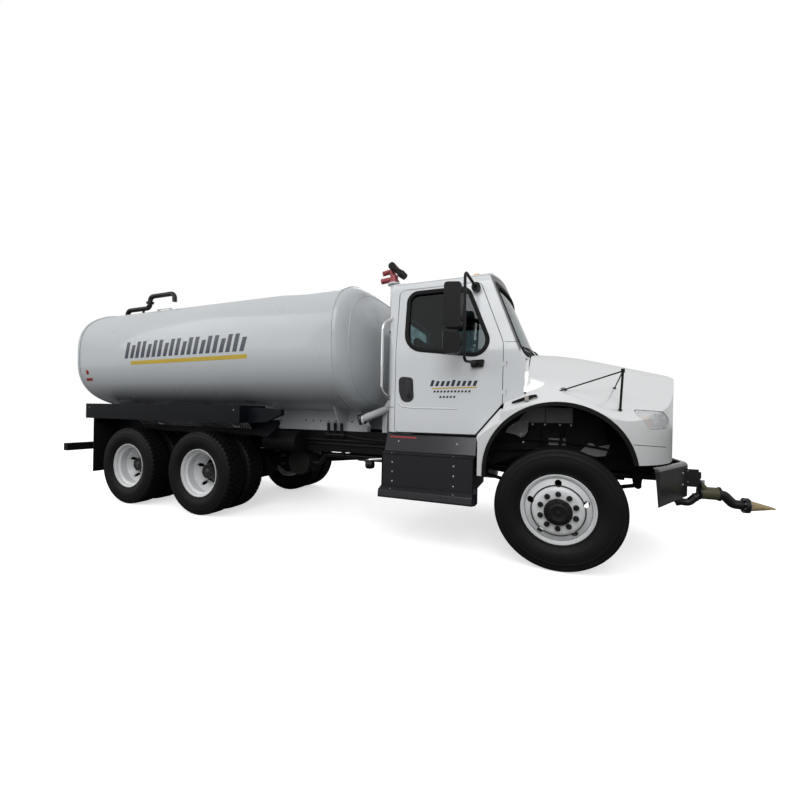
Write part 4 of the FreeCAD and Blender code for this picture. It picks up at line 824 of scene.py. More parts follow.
def cab_side(side: Side) -> Surface:
    """Returns the cab's skin on a side, by distance ahead of the front axle and height."""
    reach = 0.01

    def place(x: float, z: float) -> tuple[Vector, Vector]:
        """Returns the skin's point and outward normal."""
        lean = (cab_half(z - reach) - cab_half(z + reach)) / (2 * reach)
        normal = Vector((0.0, side.value, lean)).normalized()
        return Vector((from_axle(x), side.value * cab_half(z), z)), normal

    return place


def upright(y: float, side: Side) -> Surface:
    """Returns a flat upright plane that faces a side, by distance ahead of the front axle and height."""
    return lambda x, z: (Vector((from_axle(x), y, z)), Vector((0.0, side.value, 0.0)))


def crosswise(x: float, way: int = 1) -> Surface:
    """Returns a flat plane across the truck that faces forward or back, by Y and height."""
    return lambda y, z: (Vector((from_axle(x), y, z)), Vector((float(way), 0.0, 0.0)))


def level(z: float, way: int = 1) -> Surface:
    """Returns a level plane that faces up or down, by distance ahead of the front axle and Y."""
    return lambda x, y: (Vector((from_axle(x), y, z)), Vector((0.0, 0.0, float(way))))


class Skin:
    """A modelled piece's outer face, found by looking at it along a line."""

    def __init__(self, piece: bpy.types.Object) -> None:
        """Keeps the piece's faces for the search.

        Args:
            piece: a modelled piece in the truck's frame.
        """
        work = bmesh.new()
        work.from_mesh(piece.data)
        self.tree = BVHTree.FromBMesh(work)
        work.free()

    def cast(self, start: Vector, way: Vector) -> tuple[Vector, Vector]:
        """Returns the first point and normal from a start along a way.

        Args:
            start: a point outside the piece.
            way: the direction towards it.

        Returns:
            The point and the outward normal; where nothing is hit, the start itself.
        """
        place, normal, _, _ = self.tree.ray_cast(start, way)
        if place is None:
            LOG.warning("no surface from %s", tuple(round(c, 3) for c in start))
            return start.copy(), -way
        return place, normal if normal.dot(way) < 0 else -normal

    def side(self, side: Side) -> Surface:
        """Returns the face seen from a side, by distance ahead of the front axle and height."""
        return lambda x, z: self.cast(
            Vector((from_axle(x), side.value * 3.0, z)), Vector((0.0, -side.value, 0.0)),
        )

    def front(self) -> Surface:
        """Returns the face seen from ahead, by Y and height."""
        return lambda y, z: self.cast(Vector((from_axle(4.0), y, z)), Vector((-1.0, 0.0, 0.0)))

    def top(self) -> Surface:
        """Returns the face seen from above, by distance ahead of the front axle and Y."""
        return lambda x, y: self.cast(Vector((from_axle(x), y, 5.0)), Vector((0.0, 0.0, -1.0)))


def flat_path(
    points: Sequence[tuple[float, float]], bend: float = 0.0, closed: bool = False, step: float = 0.0,
) -> list[Vector]:
    """Rounds a plane path and divides its long runs.

    Args:
        points: the path's corners.
        bend: radius of its bends.
        closed: whether it is a loop.
        step: longest distance between points, 0 to leave runs as they are.

    Returns:
        The path's points with Z at 0.
    """
    corners = [Vector((u, v, 0.0)) for u, v in points]
    line = rounded_path(corners, bend, closed) if bend > 0.0 else corners
    if step <= 0.0:
        return line
    ends = line[1:] + ([line[0]] if closed else [])
    result = []
    for a, b in zip(line, ends):
        count = max(1, math.ceil((b - a).length / step))
        result += [a.lerp(b, k / count) for k in range(count)]
    return result if closed else result + [line[-1]]


def add_sections(work: bmesh.types.BMesh, sections: Sequence[Sequence[Vector]], closed: bool) -> None:
    """Adds a closed skin over cross-sections that have the same number of points.

    Args:
        work: the mesh.
        sections: loops of points, one after another.
        closed: whether the last joins the first; otherwise both ends are capped.
    """
    rings = [[work.verts.new(p) for p in ring] for ring in sections]
    pairs = list(zip(rings, rings[1:])) + ([(rings[-1], rings[0])] if closed else [])
    count = len(rings[0])
    for first, second in pairs:
        for k in range(count):
            j = (k + 1) % count
            work.faces.new((first[k], second[k], second[j], first[j]))
    if not closed:
        work.faces.new(rings[0])
        work.faces.new(list(reversed(rings[-1])))


def ribbon(
    builder: Builder, surface: Surface, path: Sequence[Vector], width: float, proud: float,
    sunk: float = 0.002, across: int = 2, closed: bool = False, crown: float = 0.0,
) -> None:
    """Lays a band along a path on a surface.

    Args:
        builder: what collects it.
        surface: what it lies on.
        path: its middle line in the surface's two measures.
        width: its width.
        proud: how far its edges stand out.
        sunk: how far it reaches in.
        across: parts over its width.
        closed: whether it is a loop.
        crown: how much further its middle stands out.
    """
    count = len(path)
    sections = []
    for i, p in enumerate(path):
        before = path[i - 1] if (i > 0 or closed) else p
        after = path[(i + 1) % count] if (i < count - 1 or closed) else p
        way = (after - before).normalized()
        cross = Vector((-way.y, way.x, 0.0))
        outer, inner = [], []
        for k in range(across + 1):
            share = 2.0 * k / across - 1.0
            spot = p + cross * (0.5 * width * share)
            place, normal = surface(spot.x, spot.y)
            outer.append(place + normal * (proud + crown * (1.0 - share * share)))
            if k in (0, across):
                inner.append(place - normal * sunk)
        sections.append(outer + [inner[1], inner[0]])
    add_sections(builder.work, sections, closed)


def patch(
    builder: Builder, surface: Surface, outline: Sequence[Vector], proud: float, sunk: float = 0.002,
    rings: int = 3, crown: float = 0.0,
) -> None:
    """Lays a filled plate on a surface.

    Args:
        builder: what collects it.
        surface: what it lies on.
        outline: its edge in the surface's two measures, convex.
        proud: how far it stands out.
        sunk: how far it reaches in.
        rings: loops of points between its edge and its middle.
        crown: how much further its middle stands out.
    """
    work = builder.work
    middle = sum(outline, Vector()) / len(outline)
    loops = []
    for depth, heights in ((-sunk, False), (proud, True)):
        shells = []
        for r in range(rings):
            share = 1.0 - r / rings
            ring = []
            for p in outline:
                spot = middle.lerp(p, share)
                place, normal = surface(spot.x, spot.y)
                extra = crown * (1.0 - share * share) if heights else 0.0
                ring.append(work.verts.new(place + normal * (depth + extra)))
            shells.append(ring)
        place, normal = surface(middle.x, middle.y)
        shells.append([work.verts.new(place + normal * (depth + (crown if heights else 0.0)))])
        loops.append(shells)
    count = len(outline)
    for shells in loops:
        for first, second in zip(shells, shells[1:]):
            builder.band(first, second, count)
    builder.band(loops[0][0], loops[1][0], count)


def stud_ring(
    builder: Builder, spots: Iterable[tuple[Vector, Vector]], radius: float, height: float,
    steps: int = 6, dome: float = 0.0,
) -> None:
    """Adds small bolt heads.

    Args:
        builder: what collects them.
        spots: each head's seat and its outward way.
        radius: a head's radius.
        height: how far it stands out.
        steps: its sides, 6 for hexagons.
        dome: how much further its rounded middle stands out.
    """
    for place, way in spots:
        profile = [(0.0, -0.002), (radius, -0.002), (radius, height * 0.75), (radius * 0.85, height)]
        profile.append((0.0, height + dome))
        builder.lathe(profile, tuple(place), tuple(way), steps)


# Wheels


class RingRepeat:
    """Sets copies of a small form round an axis with a node tree."""

    def __init__(self, name: str) -> None:
        """Builds the tree: points on a circle, a turned copy on each, made real, with its material.

        Args:
            name: the tree's name.
        """
        tree = bpy.data.node_groups.new(name, "GeometryNodeTree")
        self.tree = tree
        face = tree.interface
        face.new_socket("Geometry", in_out="INPUT", socket_type="NodeSocketGeometry")
        self.count = face.new_socket("Count", in_out="INPUT", socket_type="NodeSocketInt")
        self.radius = face.new_socket("Radius", in_out="INPUT", socket_type="NodeSocketFloat")
        self.start = face.new_socket("Start", in_out="INPUT", socket_type="NodeSocketFloat")
        self.finish = face.new_socket("Finish", in_out="INPUT", socket_type="NodeSocketMaterial")
        face.new_socket("Geometry", in_out="OUTPUT", socket_type="NodeSocketGeometry")
        nodes, links = tree.nodes, tree.links
        entry, leave = nodes.new("NodeGroupInput"), nodes.new("NodeGroupOutput")
        circle = nodes.new("GeometryNodeMeshCircle")
        links.new(entry.outputs["Count"], circle.inputs["Vertices"])
        links.new(entry.outputs["Radius"], circle.inputs["Radius"])
        index = nodes.new("GeometryNodeInputIndex")
        share = self._sum(nodes, links, "DIVIDE", index.outputs[0], entry.outputs["Count"])
        turn = self._sum(nodes, links, "MULTIPLY", share, 2.0 * math.pi)
        spin = nodes.new("ShaderNodeCombineXYZ")
        links.new(turn, spin.inputs["Z"])
        copies = nodes.new("GeometryNodeInstanceOnPoints")
        links.new(circle.outputs["Mesh"], copies.inputs["Points"])
        links.new(entry.outputs["Geometry"], copies.inputs["Instance"])
        links.new(spin.outputs["Vector"], copies.inputs["Rotation"])
        whole = nodes.new("GeometryNodeTransform")
        swing = nodes.new("ShaderNodeCombineXYZ")
        links.new(entry.outputs["Start"], swing.inputs["Z"])
        links.new(copies.outputs["Instances"], whole.inputs["Geometry"])
        links.new(swing.outputs["Vector"], whole.inputs["Rotation"])
        real = nodes.new("GeometryNodeRealizeInstances")
        links.new(whole.outputs["Geometry"], real.inputs["Geometry"])
        dress = nodes.new("GeometryNodeSetMaterial")
        links.new(real.outputs["Geometry"], dress.inputs["Geometry"])
        links.new(entry.outputs["Finish"], dress.inputs["Material"])
        links.new(dress.outputs["Geometry"], leave.inputs["Geometry"])

    @staticmethod
    def _sum(nodes: object, links: object, kind: str, first: object, second: object) -> bpy.types.NodeSocket:
        """Returns the result socket of a sum on two entries."""
        node = nodes.new("ShaderNodeMath")
        node.operation = kind
        for slot, value in ((0, first), (1, second)):
            if isinstance(value, bpy.types.NodeSocket):
                links.new(value, node.inputs[slot])
            else:
                node.inputs[slot].default_value = value
        return node.outputs[0]

    def spread(
        self, form: Builder, finish: object, count: int, radius: float, start: float = 0.0,
    ) -> bmesh.types.BMesh:
        """Returns the copies as one mesh about the Z axis.

        Args:
            form: the small form, with X outwards, Y round and Z along the axis.
            finish: its surface.
            count: how many copies.
            radius: the circle that they stand on.
            start: how far the first is turned, in radians.

        Returns:
            The mesh with all copies.
        """
        bmesh.ops.recalc_face_normals(form.work, faces=form.work.faces[:])
        mesh = bpy.data.meshes.new("repeat")
        form.work.to_mesh(mesh)
        form.work.free()
        carrier = bpy.data.objects.new("repeat", mesh)
        bpy.context.scene.collection.objects.link(carrier)
        modifier = carrier.modifiers.new("repeat", "NODES")
        modifier.node_group = self.tree
        for socket, value in (
            (self.count, count), (self.radius, radius), (self.start, start),
            (self.finish, finish.material()),
        ):
            modifier[socket.identifier] = value
        ready = carrier.evaluated_get(bpy.context.evaluated_depsgraph_get())
        made = bpy.data.meshes.new_from_object(ready)
        carrier.modifiers.remove(modifier)
        result = bmesh.new()
        result.from_mesh(made)
        bpy.data.objects.remove(carrier)
        for old in (mesh, made):
            bpy.data.meshes.remove(old)
        return result


def about_axle(work: bmesh.types.BMesh, x: float, y: float, z: float, out: int = 1) -> None:
    """Turns a mesh about Z into one about a wheel's axis at (x, y, z), with its top towards the outside."""
    turn = Matrix(((1, 0, 0, x), (0, 0, -1, y), (0, 1, 0, z), (0, 0, 0, 1)))
    if out > 0:
        turn = turn @ Matrix.Rotation(math.pi, 4, "X")
    bmesh.ops.transform(work, matrix=turn, verts=work.verts)


def join_into(target: Builder, work: bmesh.types.BMesh) -> None:
    """Adds a finished mesh to a piece in the making."""
    mesh = bpy.data.meshes.new("joined")
    work.to_mesh(mesh)
    work.free()
    target.work.from_mesh(mesh)
    bpy.data.meshes.remove(mesh)


@dataclass
class Tyre:
    """A truck tyre with a ribbed or lugged tread, raised rings on its walls and beads inside the rim."""

    radius: float = 0.525
    groove_depth: float = 0.013
    ribs: tuple[float, ...] = (0.026, 0.066)
    groove: float = 0.0075
    crown_drop: float = 0.0042
    crown_half: float = 0.11
    rib_middle: float = 0.02
    lug_count: int = 54
    lug_height: float = 0.015
    rows: tuple[tuple[float, float], ...] = ((0.0185, 0.031), (0.0575, 0.034))
    shoulder_row: tuple[float, float] = (0.1, 0.044)
    steps: int = 120

    def wall(self) -> list[tuple[float, float]]:
        """Returns one side wall from the bead to the shoulder, with its rings, as (radius, offset)."""
        return [
            (0.287, 0.0965), (0.299, 0.1045), (0.308, 0.112), (0.314, 0.1195), (0.317, 0.1195),
            (0.322, 0.1225), (0.340, 0.1325), (0.360, 0.1400), (0.366, 0.1425), (0.371, 0.1432),
            (0.376, 0.1445), (0.400, 0.1478), (0.424, 0.1470), (0.447, 0.1440), (0.450, 0.1452),
            (0.456, 0.1446), (0.459, 0.1420), (0.474, 0.1375), (0.489, 0.1330), (0.494, 0.1335),
            (0.503, 0.1290), (0.512, 0.1240), (0.5175, 0.1170), (0.5200, 0.1100),
        ]

    def ribbed(self) -> list[tuple[float, float]]:
        """Returns the whole section of a steering tyre, with grooves between its ribs."""
        half = self.groove / 2

        def crown(offset: float) -> float:
            """Returns the tread's radius at a distance from its middle."""
            return self.radius - self.crown_drop * (offset / self.crown_half) ** 2

        tread = []
        for middle in sorted([-r for r in self.ribs] + list(self.ribs), reverse=True):
            for at, deep in (
                (middle + half, 0.0), (middle + 0.6 * half, 1.0), (middle - 0.6 * half, 1.0),
                (middle - half, 0.0),
            ):
                tread.append((crown(at) - deep * self.groove_depth, at))
            if middle > -self.ribs[-1]:
                tread.append((crown(middle - self.rib_middle), middle - self.rib_middle))
        wall = self.wall()
        return wall + tread + [(r, -w) for r, w in reversed(wall)]

    def slick(self) -> list[tuple[float, float]]:
        """Returns the section of a drive tyre below its lugs."""
        low = self.radius - self.lug_height
        wall = [(min(r, low - 0.001) if w < 0.125 else r, w) for r, w in self.wall()]
        tread = [(low, w) for w in (0.105, 0.07, 0.035, 0.0, -0.035, -0.07, -0.105)]
        return wall + tread + [(r, -w) for r, w in reversed(wall)]

    def lug(self, middle: float, width: float, length: float, skew: float) -> Builder:
        """Returns one tread block with a slanted plan and narrowed top, at a distance along the axis."""
        form = Builder()
        low, high = -self.lug_height - 0.003, 0.0
        base = []
        for y, z in ((-length, -width), (length, -width), (length, width), (-length, width)):
            base.append((low, y / 2 + skew * z, middle + z / 2))
        form.prism(base, Vector((high - low, 0.0, 0.0)), 0.90)
        return form

    def shoulder(self, way: int, length: float) -> Builder:
        """Returns one shoulder block that wraps over the tread's edge."""
        form = Builder()
        middle, width = self.shoulder_row
        section = [
            (-self.lug_height - 0.003, middle - width / 2), (-0.002, middle - width / 2 + 0.001),
            (-0.0045, middle + width * 0.28), (-0.016, middle + width * 0.56),
            (-0.030, middle + width * 0.66), (-0.040, middle + width * 0.60),
        ]
        form.prism([(r, -length / 2, way * w) for r, w in section], Vector((0.0, length, 0.0)))
        return form

    def steer(self, name: str, y: float, body: str, node: str) -> None:
        """Makes a steering tyre at the front axle."""
        tyre = Builder()
        tyre.lathe(self.ribbed(), (FRONT_AXLE, y, AXLE_HEIGHT), (0.0, 1.0, 0.0), self.steps, closed=True)
        piece = tyre.finish(name, TYRE_RUBBER, body, "tyre", smooth=24.0)
        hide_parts(node)

    def drive_pair(
        self, name: str, x: float, rows: tuple[float, float], body: str, node: str, repeat: RingRepeat,
    ) -> None:
        """Makes twin drive tyres.

        Args:
            name: the piece's name.
            x: the axle's place along the truck.
            rows: the two tyres' middles in Y.
            body: the body they ride on.
            node: the modelled piece that they stand for.
            repeat: the tree that sets the lugs.
        """
        tyres = Builder()
        pitch = 2.0 * math.pi * self.radius / self.lug_count
        for y in rows:
            tyres.lathe(self.slick(), (x, y, AXLE_HEIGHT), (0.0, 1.0, 0.0), self.steps // 2, closed=True)
            forms = []
            for k, (middle, width) in enumerate(self.rows):
                for way in (1, -1):
                    forms.append((self.lug(way * middle, width, pitch * 0.74, 0.22 * way), 0.5 * k))
            for way in (1, -1):
                forms.append((self.shoulder(way, pitch * 0.66), 0.25))
            for form, offset in forms:
                work = repeat.spread(
                    form, TYRE_RUBBER, self.lug_count, self.radius, offset * 2.0 * math.pi / self.lug_count,
                )
                about_axle(work, x, y, AXLE_HEIGHT)
                join_into(tyres, work)
        piece = tyres.finish(name, TYRE_RUBBER, body, "tyre", smooth=24.0)
        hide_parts(node)


@dataclass
class WheelFittings:
    """Hexagon nuts with their studs on every wheel, and hub caps."""

    nut_circle: float = 0.1429
    nut_count: int = 10
    nut_radius: float = 0.0205
    nut_height: float = 0.026
    hub_bolts: int = 8

    def nut(self) -> Builder:
        """Returns one flanged nut with the end of its stud, outwards along Z."""
        form = Builder()
        form.head((0, 0, 0), (0, 0, 1), 0.023, -0.001, 0.005, 0.005, 16)
        for radius, low, top, corner, steps in (
            (self.nut_radius, 0.003, self.nut_height, (0.003, 0.004), 6),
            (0.0105, 0.01, self.nut_height + 0.012, (0.0015, 0.002), 10),
        ):
            inset, drop = corner
            profile = [(0.0, low), (radius, low), (radius, top - drop), (radius - inset, top), (0.0, top)]
            form.lathe(profile, (0, 0, 0), (0, 0, 1), steps)
        return form

    def nuts(self, target: Builder, repeat: RingRepeat, x: float, face: float, side: Side) -> None:
        """Adds one wheel's nuts to a piece."""
        work = repeat.spread(self.nut(), NUT_BLACK, self.nut_count, self.nut_circle, math.pi / self.nut_count)
        about_axle(work, x, face, AXLE_HEIGHT, side.value)
        join_into(target, work)

    def bolt(self, radius: float, height: float) -> Builder:
        """Returns one small bolt head."""
        form = Builder()
        form.head((0, 0, 0), (0, 0, 1), radius, -0.002, height, height, 6)
        return form

    def front(self, repeat: RingRepeat, side: Side, body: str) -> None:
        """Makes a front wheel's nuts and its oil cap with bolts."""
        face = side.value * (FRONT_WHEEL_Y + DISC_OUTSET)
        nuts = Builder()
        self.nuts(nuts, repeat, FRONT_AXLE, face, side)
        nuts.finish("nuts_front_" + side.name.lower(), NUT_BLACK, body, "black_pipe", smooth=30.0)
        cap = Builder()
        out = (0.0, float(side.value), 0.0)
        cap.lathe(
            [
                (0.0, 0.020), (0.108, 0.020), (0.110, 0.026), (0.110, 0.033), (0.106, 0.038),
                (0.084, 0.042), (0.081, 0.048), (0.081, 0.066), (0.078, 0.074), (0.060, 0.078),
                (0.056, 0.0765), (0.020, 0.0765), (0.018, 0.084), (0.012, 0.086), (0.0, 0.086),
            ],
            (FRONT_AXLE, face, AXLE_HEIGHT), out, 48,
        )
        work = repeat.spread(self.bolt(0.0085, 0.008), HUB_BLACK, self.hub_bolts, 0.0945, 0.2)
        about_axle(work, FRONT_AXLE, face + side.value * 0.038, AXLE_HEIGHT, side.value)
        join_into(cap, work)
        cap.finish("hub_cap_front_" + side.name.lower(), HUB_BLACK, body, "black_pipe", smooth=30.0)

    def drive(self, repeat: RingRepeat, x: float, side: Side, place: str, body: str) -> None:
        """Makes a drive wheel's nuts and its axle shaft's flange bolts."""
        face = side.value * (DUAL_FACE_Y + 0.011)
        nuts = Builder()
        self.nuts(nuts, repeat, x, face, side)
        nuts.finish("nuts_%s_%s" % (place, side.name.lower()), NUT_BLACK, body, "black_pipe", smooth=30.0)
        studs = Builder()
        flange = side.value * (DUAL_FACE_Y + 0.146)
        work = repeat.spread(self.bolt(0.0095, 0.013), HUB_BLACK, self.hub_bolts, 0.066, 0.3)
        about_axle(work, x, flange, AXLE_HEIGHT, side.value)
        join_into(studs, work)
        studs.finish(
            "flange_bolts_%s_%s" % (place, side.name.lower()), HUB_BLACK, body, "black_pipe", smooth=30.0,
        )


@dataclass
class Wheels:
    """All tyres, nuts and caps."""

    tyre: Tyre = field(default_factory=Tyre)
    fittings: WheelFittings = field(default_factory=WheelFittings)

    def build(self) -> None:
        """Makes the wheels' pieces."""
        repeat = RingRepeat("round_an_axle")
        for side in Side:
            hand = side.name.lower()
            body = "front_wheel_" + hand
            self.tyre.steer("ribbed_tyre_" + hand, side.value * FRONT_WHEEL_Y, body, "tyre_front_" + hand)
            self.fittings.front(repeat, side, body)
            for x, place in zip(DRIVE_AXLES, ("mid", "rear")):
                body = "%s_wheels_%s" % (place, hand)
                rows = (side.value * OUTER_DUAL_Y, side.value * INNER_DUAL_Y)
                self.tyre.drive_pair(
                    "lugged_tyres_%s_%s" % (place, hand), x, rows, body, "tyres_%s_%s" % (place, hand),
                    repeat,
                )
                self.fittings.drive(repeat, x, side, place, body)


# Front discs

# Sections of the rim and the disc as radius and distance out from the tyre's middle
RIM_FACE = (
    (0.2985, 0.1000), (0.2985, 0.1085), (0.2950, 0.1120), (0.2890, 0.1120), (0.2860, 0.1085),
    (0.2840, 0.0980), (0.2770, 0.0900), (0.2700, 0.0860), (0.2680, 0.0600), (0.2560, 0.0380),
    (0.2480, 0.0250),
)
RIM_BACK = ((0.2860, 0.0800), (0.2780, 0.0620), (0.2640, 0.0400), (0.2560, 0.0250))
DISC_PROFILE = (
    (0.2690, 0.0560), (0.2660, 0.0720), (0.2560, 0.0900), (0.2400, 0.1100), (0.2120, 0.1380),
    (0.1960, 0.1560), (0.1840, 0.1650), (0.1700, 0.1680), (0.1050, 0.1680),
)


@dataclass
class FrontDiscs:
    """White front wheels with five round hand holes, in place of the plain discs."""

    hole_circle: float = 0.226
    hole_radius: float = 0.0275
    holes: int = 5
    steps: int = 360
    thick: float = 0.010
    outer_rings: tuple[float, ...] = (0.2690, 0.2660, 0.2600, 0.2555)
    inner_rings: tuple[float, ...] = (0.1960, 0.1840, 0.1700, 0.1400, 0.1050)

    def build(self) -> None:
        """Builds both wheels."""
        for side in Side:
            hand = side.name.lower()
            piece = self.wheel(side, hand)
            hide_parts("wheel_front_" + hand)
            drum = Builder()
            axle = (FRONT_AXLE, side.value * FRONT_WHEEL_Y, AXLE_HEIGHT)
            drum.lathe(
                [(0.070, -0.060), (0.205, -0.060), (0.205, 0.100), (0.150, 0.128), (0.070, 0.128)], axle,
                (0.0, float(side.value), 0.0), 64, closed=True,
            )
            drum.finish("front_drum_" + hand, IRON, "front_wheel_" + hand, "white_rim")

    def wheel(self, side: Side, hand: str) -> bpy.types.Object:
        """Builds a rim and its pierced disc.

        Args:
            side: the truck's side.
            hand: the side's name.

        Returns:
            The piece.
        """
        work = Builder()
        axle = (FRONT_AXLE, side.value * FRONT_WHEEL_Y, AXLE_HEIGHT)
        out = (0.0, float(side.value), 0.0)
        mirrored = [(r, -w) for r, w in (*reversed(RIM_FACE), *RIM_BACK)]
        rim = [*RIM_FACE, *mirrored, *reversed(RIM_BACK)]
        work.lathe(rim, axle, out, 96, closed=True)
        self.disc(work, side)
        return work.finish(
            "front_wheel_look_" + hand, FRONT_RIM_PAINT, "front_wheel_" + hand, "white_rim", smooth=30.0,
        )

    def disc(self, work: Builder, side: Side) -> None:
        """Adds the disc as a pierced skin.

        Args:
            work: what collects it.
            side: the truck's side.
        """
        steps = self.steps
        pitch = 2.0 * math.pi / self.holes

        def place(radius: float, turn: float, depth: float) -> Vector:
            """Returns a point of the disc."""
            along = self.along(radius) - depth
            return Vector(
                (
                    FRONT_AXLE + radius * math.sin(turn), side.value * (FRONT_WHEEL_Y + along),
                    AXLE_HEIGHT + radius * math.cos(turn),
                )
            )

        def ring(radius_at: Callable[[float], float], depth: float) -> list:
            """Adds a loop of points round the wheel."""
            return [work.work.verts.new(place(radius_at(turn), turn, depth)) for turn in turns(steps)]

        half = math.asin(self.hole_radius / self.hole_circle)

        def bow(turn: float, sign: int) -> float:
            """Returns the hole's edge, or the hole circle between holes."""
            off = (turn + pitch / 2) % pitch - pitch / 2
            if abs(off) >= half:
                return self.hole_circle
            reach = math.sqrt(max(0.0, 1.0 - (off / half) ** 2))
            return self.hole_circle + sign * self.hole_radius * reach

        def edge(high: list, depth: float) -> list:
            """Adds the holes' inner edges, joined to the outer ones between holes."""
            loop = []
            for point, turn in zip(high, turns(steps)):
                open_here = bow(turn, 1) != bow(turn, -1)
                loop.append(work.work.verts.new(place(bow(turn, -1), turn, depth)) if open_here else point)
            return loop

        shells = []
        for depth in (0.0, self.thick):
            high = [ring(lambda t, r=r: r, depth) for r in self.outer_rings]
            high.append(ring(lambda t: bow(t, 1), depth))
            low = [edge(high[-1], depth)]
            low += [ring(lambda t, r=r: r, depth) for r in self.inner_rings]
            for first, second in [*zip(high, high[1:]), *zip(low, low[1:])]:
                work.band(first, second, steps)
            shells.append((high, low))
        (high, low), (high_back, low_back) = shells
        for near, far in ((high[-1], high_back[-1]), (low[0], low_back[0])):
            for k in range(steps):
                j = (k + 1) % steps
                if high[-1][k] is low[0][k] and high[-1][j] is low[0][j]:
                    continue
                work.work.faces.new((near[k], near[j], far[j], far[k]))
        work.band(high[0], high_back[0], steps)
        work.band(low[-1], low_back[-1], steps)

    def along(self, radius: float) -> float:
        """Returns the disc's distance out at a radius."""
        for (r0, w0), (r1, w1) in zip(DISC_PROFILE, DISC_PROFILE[1:]):
            if r1 <= radius <= r0:
                return w0 + (w1 - w0) * (r0 - radius) / (r0 - r1)
        return DISC_PROFILE[0][1] if radius > DISC_PROFILE[0][0] else DISC_PROFILE[-1][1]


# Tank


def corner_loop(corners: Sequence[tuple[float, float, float]], step: float = 0.05) -> list[Vector]:
    """Rounds a loop whose corners each have a radius.

    Args:
        corners: the two measures of each corner and its radius.
        step: longest distance between points.

    Returns:
        The loop's points with Z at 0.
    """
    points = [Vector((u, v, 0.0)) for u, v, _ in corners]
    line = []
    for i, (_, _, radius) in enumerate(corners):
        trio = [points[i - 1], points[i], points[(i + 1) % len(points)]]
        line += rounded_path(trio, radius, False)[1:-1]
    return flat_path([(p.x, p.y) for p in line], 0.0, True, step)


def rounded_box(start: tuple[float, float], end: tuple[float, float], radius: float) -> list[Vector]:
    """Returns a rectangle's loop between two opposite corners, with rounded corners."""
    (u0, v0), (u1, v1) = start, end
    return corner_loop([(u0, v0, radius), (u1, v0, radius), (u1, v1, radius), (u0, v1, radius)])


def slanted_bar(left: float, low: float, width: float, slant: float, top: float) -> list[tuple[float, float]]:
    """Returns the outline of a bar that leans forward, from its lower left corner."""
    return [(left, low), (left + width, low), (left + width + slant, top), (left + slant, top)]


@dataclass
class TankMarks:
    """Stripe, slanted bars and reflectors on the tank's sides, with its end seams."""

    stripe: tuple[float, float, float, float] = (-5.304, 1.932, -3.290, 1.943)
    bars: tuple[float, float, float, float] = (-5.43, 1.995, -3.30, 2.215)
    bar_pitch: float = 0.1065
    bar_width: float = 0.066
    bar_slant: float = 0.052
    weld_steps: int = 96

    def build(self, frame: dict) -> None:
        """Lays the marks on both sides.

        Args:
            frame: the loaded frame.
        """
        skin = Skin(frame["nodes"]["water_tank"])
        yellow, navy, red = Builder(), Builder(), Builder()
        seams = Builder()
        for side in Side:
            surface = skin.side(side)
            x0, z0, x1, z1 = self.stripe
            ribbon(yellow, surface, flat_path([(x0, z0), (x1, z1)], step=0.15), 0.050, 0.0008, across=3)
            self.lay_bars(navy, surface)
            patch(
                red, surface,
                flat_path([(-6.352, 1.712), (-6.210, 1.712), (-6.196, 1.748), (-6.338, 1.748)], step=0.05),
                0.003, rings=2,
            )
            low = rounded_box((-6.30, 1.86), (-6.245, 1.80), 0.02)
            patch(red, surface, list(reversed(low)), 0.004, rings=1)
        yellow.finish("tank_stripe", YELLOW_PAINT, "chassis", "white_paint")
        navy.finish("tank_bars", NAVY_PAINT, "chassis", "white_paint")
        red.finish("tank_reflectors", RED_LENS, "chassis", "black_plastic")
        self.weld(seams, skin)
        seams.finish("tank_seams", TANK_PAINT, "chassis", "white_paint")

    def lay_bars(self, builder: Builder, surface: Surface) -> None:
        """Lays the row of slanted bars over the stripe."""
        x0, z0, x1, z1 = self.bars
        count = int((x1 - x0) / self.bar_pitch)
        for k in range(count):
            top = z1 - 0.045 * (k % 3 == 1)
            low = z0 + 0.010 * (k / count)
            outline = slanted_bar(x0 + k * self.bar_pitch, low, self.bar_width, self.bar_slant, top)
            patch(builder, surface, flat_path(outline, closed=True, step=0.08), 0.0008, rings=2)

    def weld(self, builder: Builder, skin: Skin) -> None:
        """Adds the weld beads where the dished ends meet the wrapped sides."""
        for x in (-6.432, -2.052):
            path = []
            for turn in turns(self.weld_steps):
                way = Vector((0.0, math.cos(turn), math.sin(turn)))
                start = Vector((from_axle(x), 0.0, 1.885)) + way * 3.0
                place, _ = skin.cast(start, -way)
                path.append(tuple(place))
            builder.tube(path, 0.005, 6, closed=True)


# Cab

# Loops of corners, each with its radius; x is ahead of the front axle
WINDOW_SEAL = ((-1.428, 2.562, 0.10), (-0.826, 2.557, 0.11), (-0.545, 1.860, 0.13), (-1.428, 1.976, 0.18))
SCREEN_EDGE = ((-0.915, 1.905, 0.09), (-0.822, 2.610, 0.09), (0.822, 2.610, 0.09), (0.915, 1.905, 0.09))
HANDLE_EDGE = (
    (-1.497, 1.695, 0.045), (-1.343, 1.680, 0.040), (-1.328, 1.440, 0.060), (-1.455, 1.424, 0.080),
    (-1.490, 1.540, 0.040),
)
REAR_EDGE = ((-0.455, 2.025, 0.06), (-0.455, 2.425, 0.06), (0.455, 2.425, 0.06), (0.455, 2.025, 0.06))


